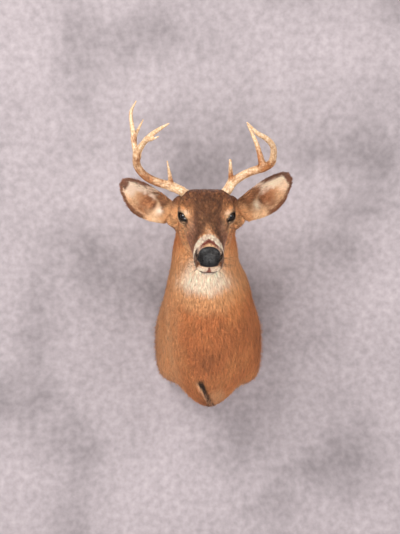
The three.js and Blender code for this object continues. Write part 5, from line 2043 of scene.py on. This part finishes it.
# lamps: place, aim, width and height, and the power's setting and how much of it they take
LAMPS = {
    "key": ((-1.3, -2.2, 1.55), (0, -0.3, 0.12), 1.4, 1.4, "key", 1.0),
    "fill": ((1.6, -2.0, 1.2), (0, -0.3, 0.1), 1.3, 1.3, "fill", 1.0),
    "low": ((0.0, -2.2, -0.9), (0, -0.3, 0.1), 1.6, 0.8, "key", 0.4),
    "rear": ((0.5, 2.6, 1.0), (0, 0, 0.1), 1.4, 1.4, "key", 0.5),
}
AIR_COLOUR, AIR_STRENGTH = (1.0, 0.98, 0.97, 1), 0.34


def flat_sheet(name, corners, material):
    """A part of the stage, from its four corners in metres."""
    mesh = bpy.data.meshes.new(name)
    mesh.from_pydata(corners, [], [(0, 1, 2, 3)])
    mesh.materials.append(material)
    obj = linked(name, mesh)
    return obj


def wall_finish(base):
    """Mottled plaster that shows from the front only."""
    f = Finish("wall_plaster", Roughness=0.9, Specular_IOR_Level=0.1)
    cloud = f.noise(3.4, 7)
    fleck = f.noise(55, 6)
    dark, light = (np.minimum(1.0, share * np.array(base)) for share in (0.66, 1.14))
    plaster = f.ramp(cloud, (0.32, dark), (0.5, base), (0.7, light))
    f.link(f.tinted(plaster, f.ramp(fleck, (0.3, 0.82), (0.7, 1.1))), "Base Color")
    behind = f.node("ShaderNodeNewGeometry").outputs["Backfacing"]
    clear = f.node("ShaderNodeBsdfTransparent")
    shown = f.node("ShaderNodeMixShader", {0: behind, 1: f.shader.outputs[0], 2: clear.outputs[0]})
    f.tree.links.new(shown.outputs[0], f.tree.nodes["Material Output"].inputs["Surface"])
    return f.material


def floor_finish(base):
    f = Finish("pale_floor", Roughness=0.8, Specular_IOR_Level=0.2)
    f.link(f.mix(f.noise(9, 3), [0.95 * c for c in base], base), "Base Color")
    return f.material


def build_stage(scene, settings):
    """Wall, floor, lamps, air light and camera."""
    ends = (-HALF_WIDTH, HALF_WIDTH)
    wall = [(x, WALL_Y, FLOOR_Z) for x in ends] + [(x, WALL_Y, WALL_TOP) for x in ends[::-1]]
    flat_sheet("wall", wall, wall_finish(settings.wall)).visible_shadow = False
    floor = [(x, FLOOR_FRONT, FLOOR_Z) for x in ends]
    floor += [(x, FLOOR_REAR, FLOOR_Z) for x in ends[::-1]]
    flat_sheet("floor", floor, floor_finish(settings.floor))
    for name, (place, aim, width, height, power, share) in LAMPS.items():
        lamp = bpy.data.lights.new(name, "AREA")
        lamp.shape, lamp.size, lamp.size_y = "RECTANGLE", width, height
        lamp.energy = share * getattr(settings, power)
        obj = linked(name, lamp)
        obj.visible_camera = False
        obj.location = place
        obj.rotation_euler = (Vector(aim) - Vector(place)).to_track_quat("-Z", "Y").to_euler()
    world = bpy.data.worlds.new("studio")
    world.use_nodes = True
    air = world.node_tree.nodes["Background"].inputs
    air["Color"].default_value, air["Strength"].default_value = AIR_COLOUR, AIR_STRENGTH
    scene.world = world
    scene.view_settings.view_transform = "Standard"
    camera = bpy.data.cameras.new("camera")
    camera.lens, camera.sensor_width = settings.lens * 1000, SENSOR_WIDTH
    camera.sensor_fit = "AUTO"
    obj = linked("camera", camera)
    obj.location = EYE_POINT
    obj.rotation_euler = (math.pi / 2, 0, 0)
    scene.camera = obj


# ---- Panel and registration -----------------------------------------------------------------

STEPS = (
    MOUNT_OT_stage, MOUNT_OT_board, MOUNT_OT_hide, MOUNT_OT_coat, MOUNT_OT_ear_coat,
    MOUNT_OT_nose, MOUNT_OT_eyes, MOUNT_OT_antlers, MOUNT_OT_bristles,
)
GROUPS = {
    "mount_markings": MarkingSettings, "mount_hide": HideSettings, "mount_coat": CoatSettings,
    "mount_bristles": BristleSettings, "mount_antlers": AntlerSettings,
    "mount_stage": StageSettings,
}


class MOUNT_PT_panel(bpy.types.Panel):
    """Lists the pieces of the shoulder mount"""

    bl_idname = "MOUNT_PT_panel"
    bl_label = "Shoulder mount"
    bl_space_type = "VIEW_3D"
    bl_region_type = "UI"
    bl_category = "Shoulder mount"

    def draw(self, context):
        for step in STEPS:
            self.layout.operator(step.bl_idname)
        for name, group in GROUPS.items():
            box = self.layout.box()
            for key in group.__annotations__:
                box.prop(getattr(context.scene, name), key)


def register():
    for cls in (*GROUPS.values(), *STEPS, MOUNT_PT_panel):
        bpy.utils.register_class(cls)
    for name, group in GROUPS.items():
        setattr(bpy.types.Scene, name, PointerProperty(type=group))


def unregister():
    for name in GROUPS:
        delattr(bpy.types.Scene, name)
    for cls in reversed((*GROUPS.values(), *STEPS, MOUNT_PT_panel)):
        bpy.utils.unregister_class(cls)


def main():
    register()
    for step in STEPS:
        group, name = step.bl_idname.split(".")
        getattr(getattr(bpy.ops, group), name)()


if __name__ == "__main__":
    main()
